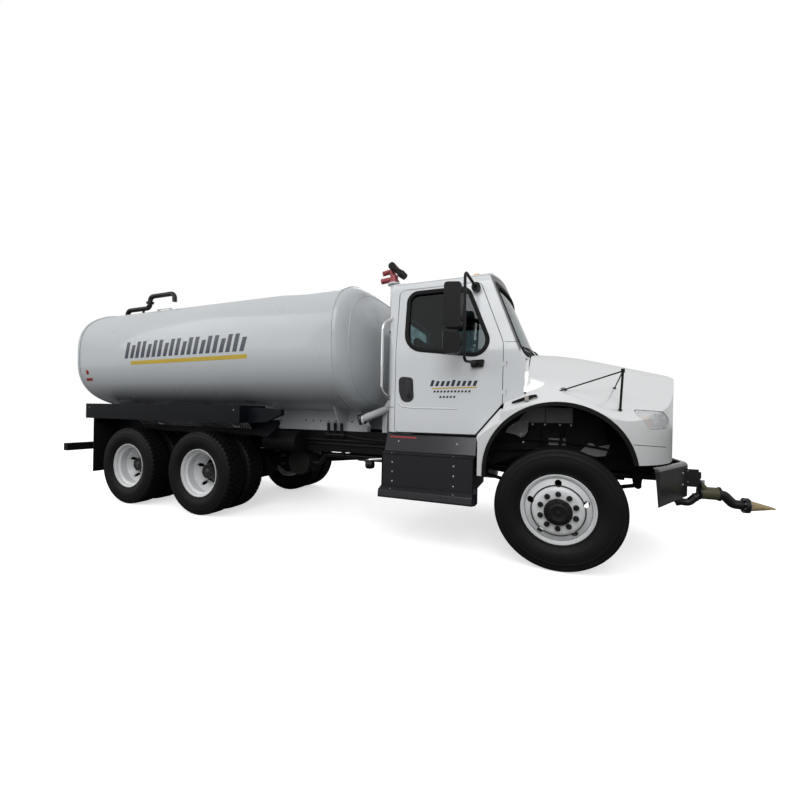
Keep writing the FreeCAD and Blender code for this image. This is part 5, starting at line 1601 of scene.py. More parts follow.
@dataclass
class CabDetails:
    """Seals, seams, handles, wipers and marks on the cab and its doors."""

    def build(self, frame: dict) -> None:
        """Adds all of them.

        Args:
            frame: the loaded frame.
        """
        glass = Skin(frame["nodes"]["cab_glass"])
        for side in Side:
            self.door(side)
        self.screen(glass)
        self.wipers(glass)
        self.sides()
        self.cowl(Skin(frame["nodes"]["hood_shell"]))
        self.inside()

    def door(self, side: Side) -> None:
        """Adds a door's window seal, handle, crease, stripe and bars."""
        hand = side.name.lower()
        body = "door_" + hand
        surface = cab_side(side)
        seal = Builder()
        ribbon(
            seal, surface, corner_loop(WINDOW_SEAL), 0.040, 0.0035, sunk=0.012, across=4, closed=True,
            crown=0.003,
        )
        seal.finish("window_seal_" + hand, RUBBER, body, "black_rubber")
        handle = Builder()
        patch(handle, surface, corner_loop(HANDLE_EDGE, 0.03), 0.003, rings=3)
        lever = corner_loop(
            [
                (-1.412, 1.660, 0.018), (-1.362, 1.655, 0.018), (-1.356, 1.470, 0.020),
                (-1.402, 1.465, 0.020),
            ],
            0.03,
        )
        patch(handle, surface, lever, 0.010, rings=3, crown=0.006)
        handle.head(tuple(surface(-1.452, 1.640)[0]), (0, side.value, 0), 0.011, 0.0, 0.007, 0.008, 16)
        handle.finish("door_handle_" + hand, GLOSS_BLACK, body, "black_plastic")
        crease = Builder()
        line = flat_path(
            [(-1.500, 1.432), (-1.462, 1.388), (-1.340, 1.373), (-0.890, 1.370)], 0.05, step=0.06,
        )
        ribbon(crease, surface, line, 0.016, 0.0004, across=4, crown=0.0034)
        crease.finish("door_crease_" + hand, CAB_PAINT, body, "white_paint", smooth=60.0)
        stripe = Builder()
        ribbon(stripe, surface, flat_path([(-1.145, 1.5675), (-0.706, 1.5775)]), 0.011, 0.0008)
        stripe.finish("door_stripe_" + hand, YELLOW_PAINT, body, "white_paint")
        bars = Builder()
        for k in range(9):
            outline = slanted_bar(-1.165 + k * 0.052, 1.590, 0.030, 0.018, 1.650 if k in (0, 4) else 1.640)
            patch(bars, surface, flat_path(outline, closed=True, step=0.04), 0.0008, rings=1)
        pitch = 0.034
        for x0, x1, z in ((-1.130, -0.740, 1.538), (-1.070, -0.870, 1.485)):
            for k in range(int((x1 - x0) / pitch)):
                outline = slanted_bar(x0 + k * pitch, z - 0.010, 0.020, 0.006, z + 0.010)
                patch(bars, surface, flat_path(outline, closed=True), 0.0008, rings=1)
        bars.finish("door_bars_" + hand, NAVY_PAINT, body, "white_paint")
        mirror = Builder()
        for low, high in (((1.245, 2.125), (1.335, 2.475)), ((1.255, 1.885), (1.335, 2.025))):
            near, far = sorted((side.value * low[0], side.value * high[0]))
            outline = rounded_box((near, low[1]), (far, high[1]), 0.02)
            patch(mirror, crosswise(-0.9655, -1), outline, 0.0015, sunk=0.003, rings=1)
        mirror.finish("mirror_glass_" + hand, CHROME, body, "chrome")

    def screen(self, glass: Skin) -> None:
        """Adds the black edges of the windscreen and the rear window."""
        edge = Builder()
        ribbon(
            edge, glass.front(), corner_loop(SCREEN_EDGE), 0.052, 0.0175, sunk=0.001, across=4, closed=True,
            crown=0.004,
        )
        behind = crosswise(-1.634, -1)
        ribbon(
            edge, behind, corner_loop(REAR_EDGE), 0.040, 0.012, sunk=0.004, across=3, closed=True,
            crown=0.003,
        )
        edge.finish("screen_seals", RUBBER, "chassis", "black_rubber")

    def wipers(self, glass: Skin) -> None:
        """Adds two parked wipers along the windscreen's foot."""
        work = Builder()
        surface = glass.front()

        def over(y: float, z: float, lift: float) -> Vector:
            """Returns a point off the glass."""
            place, normal = surface(y, z)
            return place + normal * lift

        for shift in (-0.83, 0.02):
            foot = over(shift + 0.72, 1.885, 0.024)
            elbow = over(shift + 0.56, 1.925, 0.046)
            middle = over(shift + 0.34, 1.952, 0.036)
            work.tube([tuple(foot), tuple(elbow), tuple(middle)], 0.007, 8)
            work.head(tuple(foot), (0.9, 0.0, 0.43), 0.020, -0.02, 0.016, 0.022, 16)
            blade = [over(shift + 0.66 - 0.066 * k, 1.936 + 0.0026 * k, 0.014) for k in range(11)]
            work.tube([tuple(p) for p in blade], 0.008, 8)
            bow = [
                over(
                    shift + 0.60 - 0.054 * k, 1.939 + 0.0022 * k, 0.024 + 0.008 * math.sin(math.pi * k / 10),
                )
                for k in range(11)
            ]
            work.tube([tuple(p) for p in bow], 0.0045, 6)
        work.finish("wipers", PLASTIC, "chassis", "black_plastic")

    def sides(self) -> None:
        """Adds the seams of the cab's rear corners and front pillars."""
        work = Builder()
        for side in Side:
            surface = cab_side(side)
            ribbon(work, surface, flat_path([(-1.640, 1.379), (-1.541, 1.380)], step=0.03), 0.004, 0.0006)
            ribbon(work, surface, flat_path([(-0.466, 1.996), (-0.330, 1.990)], step=0.03), 0.004, 0.0006)
        work.finish("cab_seams", FRAME_BLACK, "chassis", "black_rubber")
        bolts = Builder()
        for side in Side:
            surface = upright(side.value * 1.030, side)
            spots = [surface(-1.600, z) for z in (2.155, 1.492)]
            stud_ring(bolts, spots, 0.009, 0.006, 12, 0.003)
        bolts.finish("grab_clamps", PLASTIC, "chassis", "black_plastic")

    def cowl(self, hood: Skin) -> None:
        """Adds the fixed panel that closes the way from the cab's front to the hood's rear edge."""
        work = Builder()
        middle = Vector((from_axle(-0.238), 0.0, 1.42))
        for side in Side:
            rim = []
            for k in range(48):
                turn = math.radians(6.0 + 1.6 * k)
                way = Vector((0.0, side.value * math.cos(turn), math.sin(turn)))
                place, normal = hood.cast(middle + way * 3.0, -way)
                if (place - middle).length > 1.4:
                    break
                rim.append(place - Vector((0.0, normal.y, normal.z)) * 0.002)
            rows = [[(from_axle(x), p.y, p.z) for p in rim] for x in (-0.2545, -0.272, -0.292)]
            work.sheet(
                rows, lambda p: (Vector((0.0, 0.0, 1.30)) - Vector((0.0, p[1], p[2]))).normalized() * 0.012,
            )
        work.finish("cowl_panel", WHITE_PAINT, "chassis", "white_paint")

    def inside(self) -> None:
        """Adds the column's stalk, the dash's vents and panels and the inside mirror."""
        work = Builder()
        for y in (-0.55, -0.25, 0.10, 0.72):
            work.box(*ahead((-0.642, y - 0.055, 1.752), (-0.600, y + 0.055, 1.800)))
        work.box(*ahead((-0.650, 0.33, 1.765), (-0.560, 0.63, 1.835)))
        work.box(*ahead((-0.676, -0.12, 1.600), (-0.640, 0.16, 1.735)))
        work.tube(ahead((-0.82, 0.48, 1.85), (-0.80, 0.64, 1.89)), 0.006, 8)
        work.tube(ahead((-0.62, 0.0, 2.66), (-0.60, 0.0, 2.60)), 0.008, 8)
        work.box(*ahead((-0.612, -0.11, 2.535), (-0.592, 0.11, 2.600)))
        work.finish("dash_fittings", PLASTIC, "chassis", "black_plastic", bevel=0.004)


# Seats


@dataclass
class Seats:
    """Two seats with swollen cloth pads and sewn channels on their boxes, in place of the plain ones."""

    floor: float = 1.180
    spread: float = 0.480
    voxel: float = 0.007
    cap: float = 0.014
    pressure: float = 4.0
    frames: int = 20
    channel: tuple[float, float] = (0.0065, 0.0085)
    piping: tuple[float, float, float] = (0.004, 0.007, 0.020)

    def build(self) -> None:
        """Builds one seat's pads, copies them across and adds the boxes."""
        cushion = self.pad(
            "seat_cushion", [(-1.436, 0.286), (-0.946, 0.302), (-0.946, 0.386), (-1.436, 0.366)], 0.232,
            (-0.5, 0.0, 0.5),
        )
        back = self.pad(
            "seat_back", [(-1.379, 0.402), (-1.317, 0.406), (-1.394, 0.982), (-1.466, 0.982)], 0.222,
            (-0.5, 0.0, 0.5),
        )
        work = Builder()
        for y in (-self.spread, self.spread):
            work.box(*ahead((-1.420, y - 0.200, self.floor), (-1.000, y + 0.200, self.floor + 0.278)))
            work.box(*ahead((-1.440, y - 0.215, self.floor + 0.262), (-0.960, y + 0.215, self.floor + 0.284)))
            work.tube(
                ahead((-1.05, y - 0.205, self.floor + 0.12), (-0.99, y - 0.205, self.floor + 0.12)), 0.010,
                10,
            )
        box = work.finish("seat_boxes", DASH_PLASTIC, "chassis", "fabric", bevel=0.006)
        for name, source in (("seat_cushion", cushion), ("seat_back", back)):
            for tag, y in (("right", -self.spread), ("left", self.spread)):
                mesh = source.copy()
                mesh.transform(Matrix.Translation((0.0, y, 0.0)))
                piece = shape_object(name + "_" + tag, mesh, CLOTH, 60.0)
                settle(piece, "chassis", "fabric")
                LOG.info("%s has %d faces", piece.name, len(mesh.polygons))
            bpy.data.meshes.remove(source)
        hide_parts("seats")

    def pad(
        self, name: str, outline: Sequence[tuple[float, float]], half: float, seams: Sequence[float],
    ) -> bpy.types.Mesh:
        """Swells one pad from a plain block.

        Args:
            name: the pad's name.
            outline: its side view, by distance ahead of the front axle and height over the floor.
            half: half its width.
            seams: where its channels run, as shares of its half width.

        Returns:
            Its mesh about the truck's middle plane.
        """
        work = Builder()
        work.prism([(from_axle(x), -half, self.floor + z) for x, z in outline], Vector((0.0, 2 * half, 0.0)))
        bmesh.ops.recalc_face_normals(work.work, faces=work.work.faces[:])
        mesh = bpy.data.meshes.new(name)
        work.work.to_mesh(mesh)
        work.work.free()
        piece = bpy.data.objects.new(name, mesh)
        bpy.context.scene.collection.objects.link(piece)
        soften = piece.modifiers.new("soften", "BEVEL")
        soften.width, soften.segments = 0.030, 4
        grid = piece.modifiers.new("grid", "REMESH")
        grid.mode, grid.voxel_size = "VOXEL", self.voxel
        self.bake(piece)
        self.swell(piece)
        self.sew(piece.data, half, seams)
        result = piece.data
        bpy.data.objects.remove(piece)
        return result

    def bake(self, piece: bpy.types.Object) -> None:
        """Applies a piece's modifiers to its mesh."""
        graph = bpy.context.evaluated_depsgraph_get()
        mesh = bpy.data.meshes.new_from_object(piece.evaluated_get(graph))
        piece.modifiers.clear()
        piece.data = mesh

    def swell(self, piece: bpy.types.Object) -> None:
        """Blows a pad up as cloth and holds each point near where it was."""
        scene = bpy.context.scene
        rest = [v.co.copy() for v in piece.data.vertices]
        cloth = piece.modifiers.new("cloth", "CLOTH")
        cloth.settings.use_pressure = True
        cloth.settings.uniform_pressure_force = self.pressure
        cloth.settings.effector_weights.gravity = 0.0
        cloth.settings.quality = 4
        cloth.point_cache.frame_start, cloth.point_cache.frame_end = 1, self.frames
        for frame in range(1, self.frames + 1):
            scene.frame_set(frame)
        self.bake(piece)
        scene.frame_set(1)
        for vert, start in zip(piece.data.vertices, rest):
            move = vert.co - start
            if move.length > self.cap:
                vert.co = start + move.normalized() * self.cap

    def sew(self, mesh: bpy.types.Mesh, half: float, seams: Sequence[float]) -> None:
        """Draws a pad's channels and edge seam in."""
        work = bmesh.new()
        work.from_mesh(mesh)
        work.normal_update()
        moves = []
        deep, wide = self.channel
        edge_deep, edge_wide, inset = self.piping
        for vert in work.verts:
            depth = sum(deep * math.exp(-((vert.co.y - share * half) / wide) ** 2) for share in seams)
            edge = abs(abs(vert.co.y) - (half - inset))
            depth += edge_deep * math.exp(-((edge / edge_wide) ** 2))
            moves.append((vert, vert.normal * -depth))
        for vert, move in moves:
            vert.co += move
        work.to_mesh(mesh)
        work.free()


# Hood and what shows under it

# The lamp's outline in its own plane as along, up and corner radius, and the plane's turn in degrees
LAMP_EDGE = (
    (-0.224, 0.020, 0.04), (-0.195, 0.088, 0.045), (0.060, 0.074, 0.12), (0.212, 0.010, 0.06),
    (0.214, -0.066, 0.036), (-0.140, -0.074, 0.06),
)
LAMP_TURN = 38.0
# The hood pull's sections as x, half width and half depth
PULL_SECTIONS = (
    (-0.385, 0.012, 0.006), (-0.345, 0.016, 0.010), (-0.300, 0.021, 0.012),
    (-0.262, 0.024, 0.014), (-0.225, 0.026, 0.015), (-0.180, 0.020, 0.010),
)
# What shows in the arches: plates as y, thickness and outline, bolts as y, x and z, lines as radius, sides,
# bend and path
ARCH_PANEL = (
    (-0.620, 0.800), (-0.620, 1.340), (-0.455, 1.480), (-0.100, 1.520), (0.36, 1.30), (0.46, 0.98),
    (0.30, 0.93), (-0.20, 0.98),
)
ARCH_PLATES = (
    (
        0.700, 0.004,
        ((-0.340, 1.250), (-0.340, 1.290), (-0.250, 1.385), (-0.110, 1.402), (-0.110, 1.255)),
    ),
    (0.690, 0.006, ((-0.105, 1.252), (-0.105, 1.400), (0.128, 1.397), (0.128, 1.255))),
    (
        0.745, 0.006,
        (
            (-0.470, 1.150), (-0.440, 1.205), (-0.335, 1.276), (-0.256, 1.273), (-0.262, 1.165),
            (-0.288, 1.122), (-0.324, 1.105), (-0.372, 1.130),
        ),
    ),
    (0.664, 0.006, ((-0.075, 1.040), (-0.075, 1.106), (0.073, 1.106), (0.073, 1.040))),
    (
        0.664, 0.006,
        (
            (0.190, 0.985), (0.272, 1.075), (0.300, 1.070), (0.330, 1.042), (0.441, 1.066),
            (0.405, 0.960), (0.330, 0.950),
        ),
    ),
)
ARCH_BOLTS = (
    (0.752, -0.400, 1.225), (0.752, -0.275, 1.262), (0.706, -0.22, 1.235), (0.706, -0.11, 1.235),
    (0.706, 0.02, 1.235), (0.706, 0.115, 1.235), (0.752, -0.30, 1.06),
)
ARCH_LINES = (
    (
        0.010, 10, 0.05,
        ((-0.60, 0.70, 1.060), (-0.20, 0.71, 1.090), (0.10, 0.70, 1.075), (0.42, 0.69, 1.020)),
    ),
    (
        0.013, 10, 0.06,
        ((-0.58, 0.69, 0.960), (-0.25, 0.72, 1.000), (0.02, 0.70, 1.020), (0.05, 0.69, 1.18)),
    ),
    (0.007, 8, 0.0, ((-0.14, 0.70, 1.20), (-0.14, 0.70, 1.02))),
)


@dataclass
class Headlamps:
    """Clear covers over bowls with an amber corner and a dark lower front, in place of the plain blocks."""

    middle: Point = (from_axle(0.740), 0.925, 1.298)

    def build(self, frame: dict) -> None:
        """Builds both lamps on the plain blocks' own faces.

        Args:
            frame: the loaded frame.
        """
        skin = Skin(frame["nodes"]["headlamps"])
        cover, bowl, chrome, amber, dark = Builder(), Builder(), Builder(), Builder(), Builder()
        for side in Side:
            surface = self.face(skin, side)
            edge = [
                Vector((p.x, p.y, 0.0))
                for p in corner_loop([(u * 0.978, v * 0.95, r) for u, v, r in LAMP_EDGE], 0.03)
            ]
            patch(cover, surface, edge, 0.0, sunk=0.003, rings=6)
            patch(bowl, surface, edge, -0.013, sunk=0.034, rings=5)
            ribbon(chrome, surface, [p * 0.955 for p in edge], 0.007, -0.0035, sunk=0.0125, closed=True)
            ribbon(
                chrome, surface,
                flat_path([(-0.030, 0.072), (0.010, 0.0), (0.062, -0.060)], 0.04, step=0.02), 0.007,
                -0.0045, sunk=0.0125,
            )
            amber_edge = corner_loop(
                [
                    (-0.206, 0.030, 0.02), (-0.160, 0.052, 0.03), (-0.078, -0.062, 0.02),
                    (-0.136, -0.066, 0.03),
                ],
                0.02,
            )
            patch(amber, surface, list(amber_edge), -0.0045, sunk=0.0125, rings=3, crown=-0.002)
            dark_edge = corner_loop(
                [(0.056, 0.000, 0.02), (0.196, 0.002, 0.02), (0.200, -0.060, 0.02), (0.078, -0.062, 0.02)],
                0.02,
            )
            patch(dark, surface, dark_edge, -0.0055, sunk=0.0125, rings=3)
            for u, v, radius in ((-0.045, 0.012, 0.046), (0.105, 0.030, 0.030), (-0.125, 0.050, 0.022)):
                place, normal = surface(u, v)
                seat = place - normal * 0.0125
                profile = [
                    (radius, 0.0), (radius, 0.006), (radius * 0.93, 0.006), (radius * 0.62, 0.0015),
                    (radius * 0.25, 0.0005), (radius * 0.22, 0.006), (0.0, 0.0075),
                ]
                chrome.lathe(profile, tuple(seat), tuple(normal), 32)
        lens = cover.finish("lamp_covers", LAMP_GLASS, "hood", "lamp_glass", smooth=50.0)
        bowl.finish("lamp_bowls", LAMP_BOWL, "hood", "lamp_glass", smooth=50.0)
        chrome.finish("lamp_reflectors", CHROME, "hood", "lamp_glass")
        amber.finish("lamp_ambers", AMBER, "hood", "lamp_glass")
        dark.finish("lamp_shades", PLASTIC, "hood", "lamp_glass")
        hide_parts("headlamps")

    def face(self, skin: Skin, side: Side) -> Surface:
        """Returns the lamp's face on a side, by the distance along it and the height over its middle."""
        turn = math.radians(LAMP_TURN)
        way = Vector((math.cos(turn), side.value * math.sin(turn), 0.0))
        along = Vector((way.y, -way.x, 0.0)) * side.value
        middle = Vector((self.middle[0], side.value * self.middle[1], self.middle[2]))
        return lambda u, v: skin.cast(middle + along * u + Vector((0.0, 0.0, v)) + way * 1.5, -way)


@dataclass
class HoodDetails:
    """Latches, side lamps, seams and the parts that show in the wheel arches."""

    def build(self, frame: dict) -> None:
        """Adds all of them.

        Args:
            frame: the loaded frame.
        """
        hood = Skin(frame["nodes"]["hood_shell"])
        for side in Side:
            self.latch(hood, side)
        self.seams(hood)
        self.grille(Skin(frame["nodes"]["grille"]))
        self.arches()

    def latch(self, hood: Skin, side: Side) -> None:
        """Adds the rubber pull that holds the hood down, with its bright catch."""
        hand = side.name.lower()
        y = side.value * 1.118
        top = hood.top()
        pull = Builder()
        out, up = Vector((0.0, side.value, 0.0)), Vector((-0.5, 0.0, 0.86))
        sections = []
        for x, half, deep in PULL_SECTIONS:
            p = top(x, y)[0] + Vector((0.0, 0.0, 0.014))
            sections.append(
                [p + out * half * a + up * deep * b for a, b in ((1, -1), (1, 1), (-1, 1), (-1, -1))]
            )
        add_sections(pull.work, sections, False)
        pull.finish("hood_pull_" + hand, RUBBER, "hood", "black_rubber", bevel=0.003)
        catch = Builder()
        low = top(-0.262, y)[0]
        catch.box(
            (low.x - 0.016, min(y, y + side.value * 0.040), low.z - 0.012),
            (low.x + 0.016, max(y, y + side.value * 0.040), low.z + 0.030),
        )
        seat = top(-0.215, y)[0]
        catch.box((seat.x - 0.010, y - 0.022, seat.z - 0.006), (seat.x + 0.030, y + 0.022, seat.z + 0.004))
        catch.finish("hood_catch_" + hand, STEEL, "hood", "steel", bevel=0.002)
        lamp = Builder()
        spot, normal = top(0.035, side.value * 1.035)
        ring = [
            (0.0, -0.004), (0.034, -0.004), (0.034, 0.003), (0.028, 0.006), (0.026, 0.0035), (0.0, 0.0035),
        ]
        lamp.lathe(ring, tuple(spot), tuple(normal), 32)
        lamp.finish("side_lamp_rim_" + hand, CHROME, "hood", "chrome")
        lens = Builder()
        lens.lathe(
            [(0.0, 0.003), (0.025, 0.003), (0.022, 0.008), (0.0, 0.011)], tuple(spot), tuple(normal), 32,
        )
        lens.finish("side_lamp_" + hand, LAMP_BOWL, "hood", "lamp_glass")

    def seams(self, hood: Skin) -> None:
        """Adds the seam over the hood's lower front edge."""
        work = Builder()
        for side in Side:
            line = []
            for k in range(17):
                swing = math.radians(88.0 - 60.0 * k / 16)
                way = Vector((math.cos(swing), side.value * math.sin(swing), 0.0))
                start = Vector((from_axle(0.45), side.value * 0.62, 1.105 - 0.030 * k / 16)) + way * 3.0
                place, normal = hood.cast(start, -way)
                if (place - start).length > 0.01:
                    line.append(tuple(place - normal * 0.0012))
            work.tube(line, 0.0030, 6)
        work.finish("hood_seams", FRAME_BLACK, "hood", "black_rubber")

    def grille(self, skin: Skin) -> None:
        """Adds a fine mesh behind the grille's bars."""
        front = skin.front()
        mesh = Builder()
        place, _ = front(0.0, 1.136)
        pitch, half = 0.024, 0.0015
        for k in range(31):
            y = -0.36 + pitch * k
            mesh.box((place.x - 0.055, y - half, 1.10), (place.x - 0.050, y + half, 1.53))
        for k in range(19):
            z = 1.10 + pitch * k
            mesh.box((place.x - 0.0555, -0.37, z - half), (place.x - 0.0505, 0.37, z + half))
        mesh.finish("grille_mesh", FRAME_BLACK, "hood", "black_plastic")

    def arches(self) -> None:
        """Adds splash panels, brackets and lines that show over the front wheels."""
        grey, dark, steel = Builder(), Builder(), Builder()
        for side in Side:
            s = side.value
            for work, rows in ((dark, ((0.655, 0.004, ARCH_PANEL),)), (grey, ARCH_PLATES)):
                for y, depth, outline in rows:
                    work.prism(ahead(*((x, s * y, z) for x, z in outline)), Vector((0.0, s * depth, 0.0)))
            for k in range(7):
                x = from_axle(-0.092 + 0.032 * k)
                grey.box((x, min(s * 0.696, s * 0.704), 1.262), (x + 0.013, max(s * 0.696, s * 0.704), 1.388))
            steel.lathe(
                [(0.0, 0.0), (0.014, 0.0), (0.014, 0.004), (0.006, 0.005), (0.0, 0.005)],
                (from_axle(-0.325), s * 0.751, 1.135), (0, s, 0), 16,
            )
            for y, x, z in ARCH_BOLTS:
                steel.head((from_axle(x), s * y, z), (0, s, 0), 0.009, 0.0, 0.005, 0.006, 12)
            for radius, steps, bend, path in ARCH_LINES:
                dark.tube(ahead(*((x, s * y, z) for x, y, z in path)), radius, steps, bend)
        dark.finish("arch_panels", FRAME_BLACK, "chassis", "black_plastic")
        grey.finish("arch_brackets", ARCH_GREY, "chassis", "steel")
        steel.finish("arch_bolts", ZINC, "chassis", "steel")


# Front end


@dataclass
class FrontDetails:
    """Bolts and fittings of the spray head, and the bumper's bolts and blank plate."""

    spray_y: float = -0.340
    valve_z: float = 0.645
    flange_z: float = 0.562
    flange_bolts: int = 8
    flange_circle: float = 0.053
    rod_circle: float = 0.049

    def build(self, frame: dict) -> None:
        """Adds all of them.

        Args:
            frame: the loaded frame.
        """
        y, z = self.spray_y, self.valve_z
        steel, dark = Builder(), Builder()
        for turn in turns(self.flange_bolts, 0.5):
            across, up = (self.flange_circle * way for way in (math.cos(turn), math.sin(turn)))
            spot = (from_axle(1.507), y + across, self.flange_z + up)
            steel.head(spot, (-1, 0, 0), 0.0085, -0.004, 0.003, 0.004, 6)
            spot = (from_axle(1.545), spot[1], spot[2])
            steel.lathe(
                [(0.0, -0.003), (0.0085, -0.003), (0.0085, 0.007), (0.005, 0.012), (0.0, 0.012)], spot,
                (1, 0, 0), 6,
            )
        for x in (1.198, 1.342):
            dark.lathe(
                [
                    (0.059, -0.008), (0.063, -0.006), (0.063, 0.006), (0.059, 0.008), (0.0, 0.008),
                    (0.0, -0.008),
                ],
                (from_axle(x), y, z), (1, 0, 0), 32, closed=True,
            )
        for turn in (40.0, 140.0, 220.0, 320.0):
            way = math.radians(turn)
            across, up = self.rod_circle * math.cos(way), self.rod_circle * math.sin(way)
            steel.tube(ahead((1.192, y + across, z + up), (1.349, y + across, z + up)), 0.0055, 8)
        dark.box(*ahead((1.150, y - 0.052, 0.776), (1.196, y - 0.012, 0.836)))
        dark.tube(
            ahead((1.150, y - 0.03, 0.80), (1.100, y - 0.02, 0.74), (1.06, y + 0.03, 0.62)), 0.008, 10, 0.04,
        )
        steel.box(*ahead((1.214, y - 0.006, 0.700), (1.236, y + 0.006, 0.760)))
        for x, z in ((1.035, 0.545), (1.170, 0.600)):
            dark.lathe(
                [(0.037, -0.013), (0.037, 0.013), (0.0, 0.013), (0.0, -0.013)], (from_axle(x), y, z),
                (1.0, 0.0, 0.25), 24, closed=True,
            )
        steel.finish("spray_bolts", ZINC, "chassis", "steel")
        dark.finish("spray_fittings", PIPE_BLACK, "chassis", "black_pipe")
        self.bumper(Skin(frame["nodes"]["front_bumper"]))

    def bumper(self, skin: Skin) -> None:
        """Adds the bumper's round-headed bolts and its blank plate."""
        front = skin.front()
        bolts, pad = Builder(), Builder()
        spots = [front(y, z) for y in (-0.60, -0.40, 0.40, 0.60) for z in (0.74, 0.84)]
        stud_ring(bolts, spots, 0.011, 0.005, 16, 0.004)
        bolts.finish("bumper_bolts", ZINC, "chassis", "steel")
        patch(pad, front, rounded_box((-0.160, 0.740), (0.160, 0.890), 0.01), 0.006, rings=2)
        pad.finish("blank_plate", PLASTIC, "chassis", "black_plastic")


# Boxes, trays and piping along the sides


@dataclass
class StepBox:
    """Rivets, treads, rolled edges and a reflector strip on the right-hand step box."""

    rear: float = -1.690
    front: float = -0.690
    rivets: tuple[tuple[float, float], ...] = (
        (-1.482, 1.032), (-0.886, 1.029), (-1.502, 0.829), (-1.502, 0.736),
        (-1.502, 0.641), (-0.889, 0.829), (-0.889, 0.736), (-0.889, 0.641),
    )
    grip_rows: tuple[tuple[float, ...], ...] = ((-1.092, -1.110, -1.128), (-1.168, -1.184, -1.200, -1.216))
    grip_pitch: float = 0.020
    grip_half: float = 0.0065
    grip_thick: float = 0.0022

    def build(self, frame: dict) -> None:
        """Adds all of them.

        Args:
            frame: the loaded frame.
        """
        skin = Skin(frame["nodes"]["side_box"])
        ends = [corner[0] - FRONT_AXLE for corner in frame["nodes"]["side_box"].bound_box]
        self.rear, self.front = min(ends), max(ends)
        side = skin.side(Side.RIGHT)
        rivets = Builder()
        stud_ring(rivets, [side(x, z) for x, z in self.rivets], 0.0085, 0.004, 16, 0.003)
        top = skin.top()
        stud_ring(
            rivets, [(top(x, -1.125)[0], Vector((0, 0, 1))) for x in (-1.520, -0.900)], 0.006, 0.003, 12,
            0.002,
        )
        stud_ring(rivets, [top(x, -1.205) for x in (-1.50, -0.88)], 0.006, 0.003, 12, 0.002)
        rivets.finish("step_rivets", ZINC, "chassis", "steel")
        edges = Builder()
        for y, z in ((-1.1505, 0.9125), (-1.0765, 0.9315), (-1.1515, 0.5965)):
            edges.tube(ahead((self.rear + 0.004, y, z), (self.front - 0.004, y, z)), 0.0045, 8)
        for x in (self.rear + 0.006, self.front - 0.006):
            edges.tube(ahead((x, -1.1505, 0.9125), (x, -1.1505, 0.600)), 0.005, 8)
        edges.finish("step_edges", TRAY_BLACK, "chassis", "gloss_black")
        self.treads(skin)
        strip = Builder()
        ribbon(strip, side, flat_path([(-1.585, 1.076), (-1.300, 1.072)], step=0.05), 0.014, 0.0012)
        strip.finish("step_reflector", RED_LENS, "chassis", "gloss_black")
        cap = Builder()
        outline = [
            (-1.090, 0.486), (-1.236, 0.492), (-1.228, 0.560), (-1.150, 0.592), (-1.120, 0.640),
            (-1.085, 0.640),
        ]
        cap.prism(
            [(from_axle(self.front + 0.0005), y, z) for y, z in outline], Vector((0.030, 0.0, 0.0)),
            taper=0.9,
        )
        cap.finish("step_end", TRAY_BLACK, "chassis", "gloss_black", bevel=0.006)

    def treads(self, skin: Skin) -> None:
        """Adds the raised grips on both steps."""
        work = Builder()
        top = skin.top()
        start, end = self.rear + 1.5 * self.grip_pitch, self.front - self.grip_pitch
        for rows in self.grip_rows:
            for row, y in enumerate(rows):
                for k in range(46):
                    x = start + self.grip_pitch * (k + 0.5 * (row % 2))
                    if x > end:
                        continue
                    place, normal = top(x, y)
                    work.prism(self.bar(place, normal, (row + k) % 2), normal * self.grip_thick)
        work.finish("step_treads", TREAD_GREY, "chassis", "gloss_black")

    def bar(self, place: Vector, normal: Vector, flip: int) -> list[Point]:
        """Returns the foot of one raised grip, turned one way or the other."""
        way = Vector((1.0, 0.9 if flip else -0.9, 0.0)).normalized()
        way = (way - normal * way.dot(normal)).normalized()
        across = normal.cross(way) * self.grip_thick
        along = way * self.grip_half
        start = place - normal * 0.0006
        return [tuple(start + along * a + across * b) for a, b in ((-1, -1), (1, -1), (1, 1), (-1, 1))]


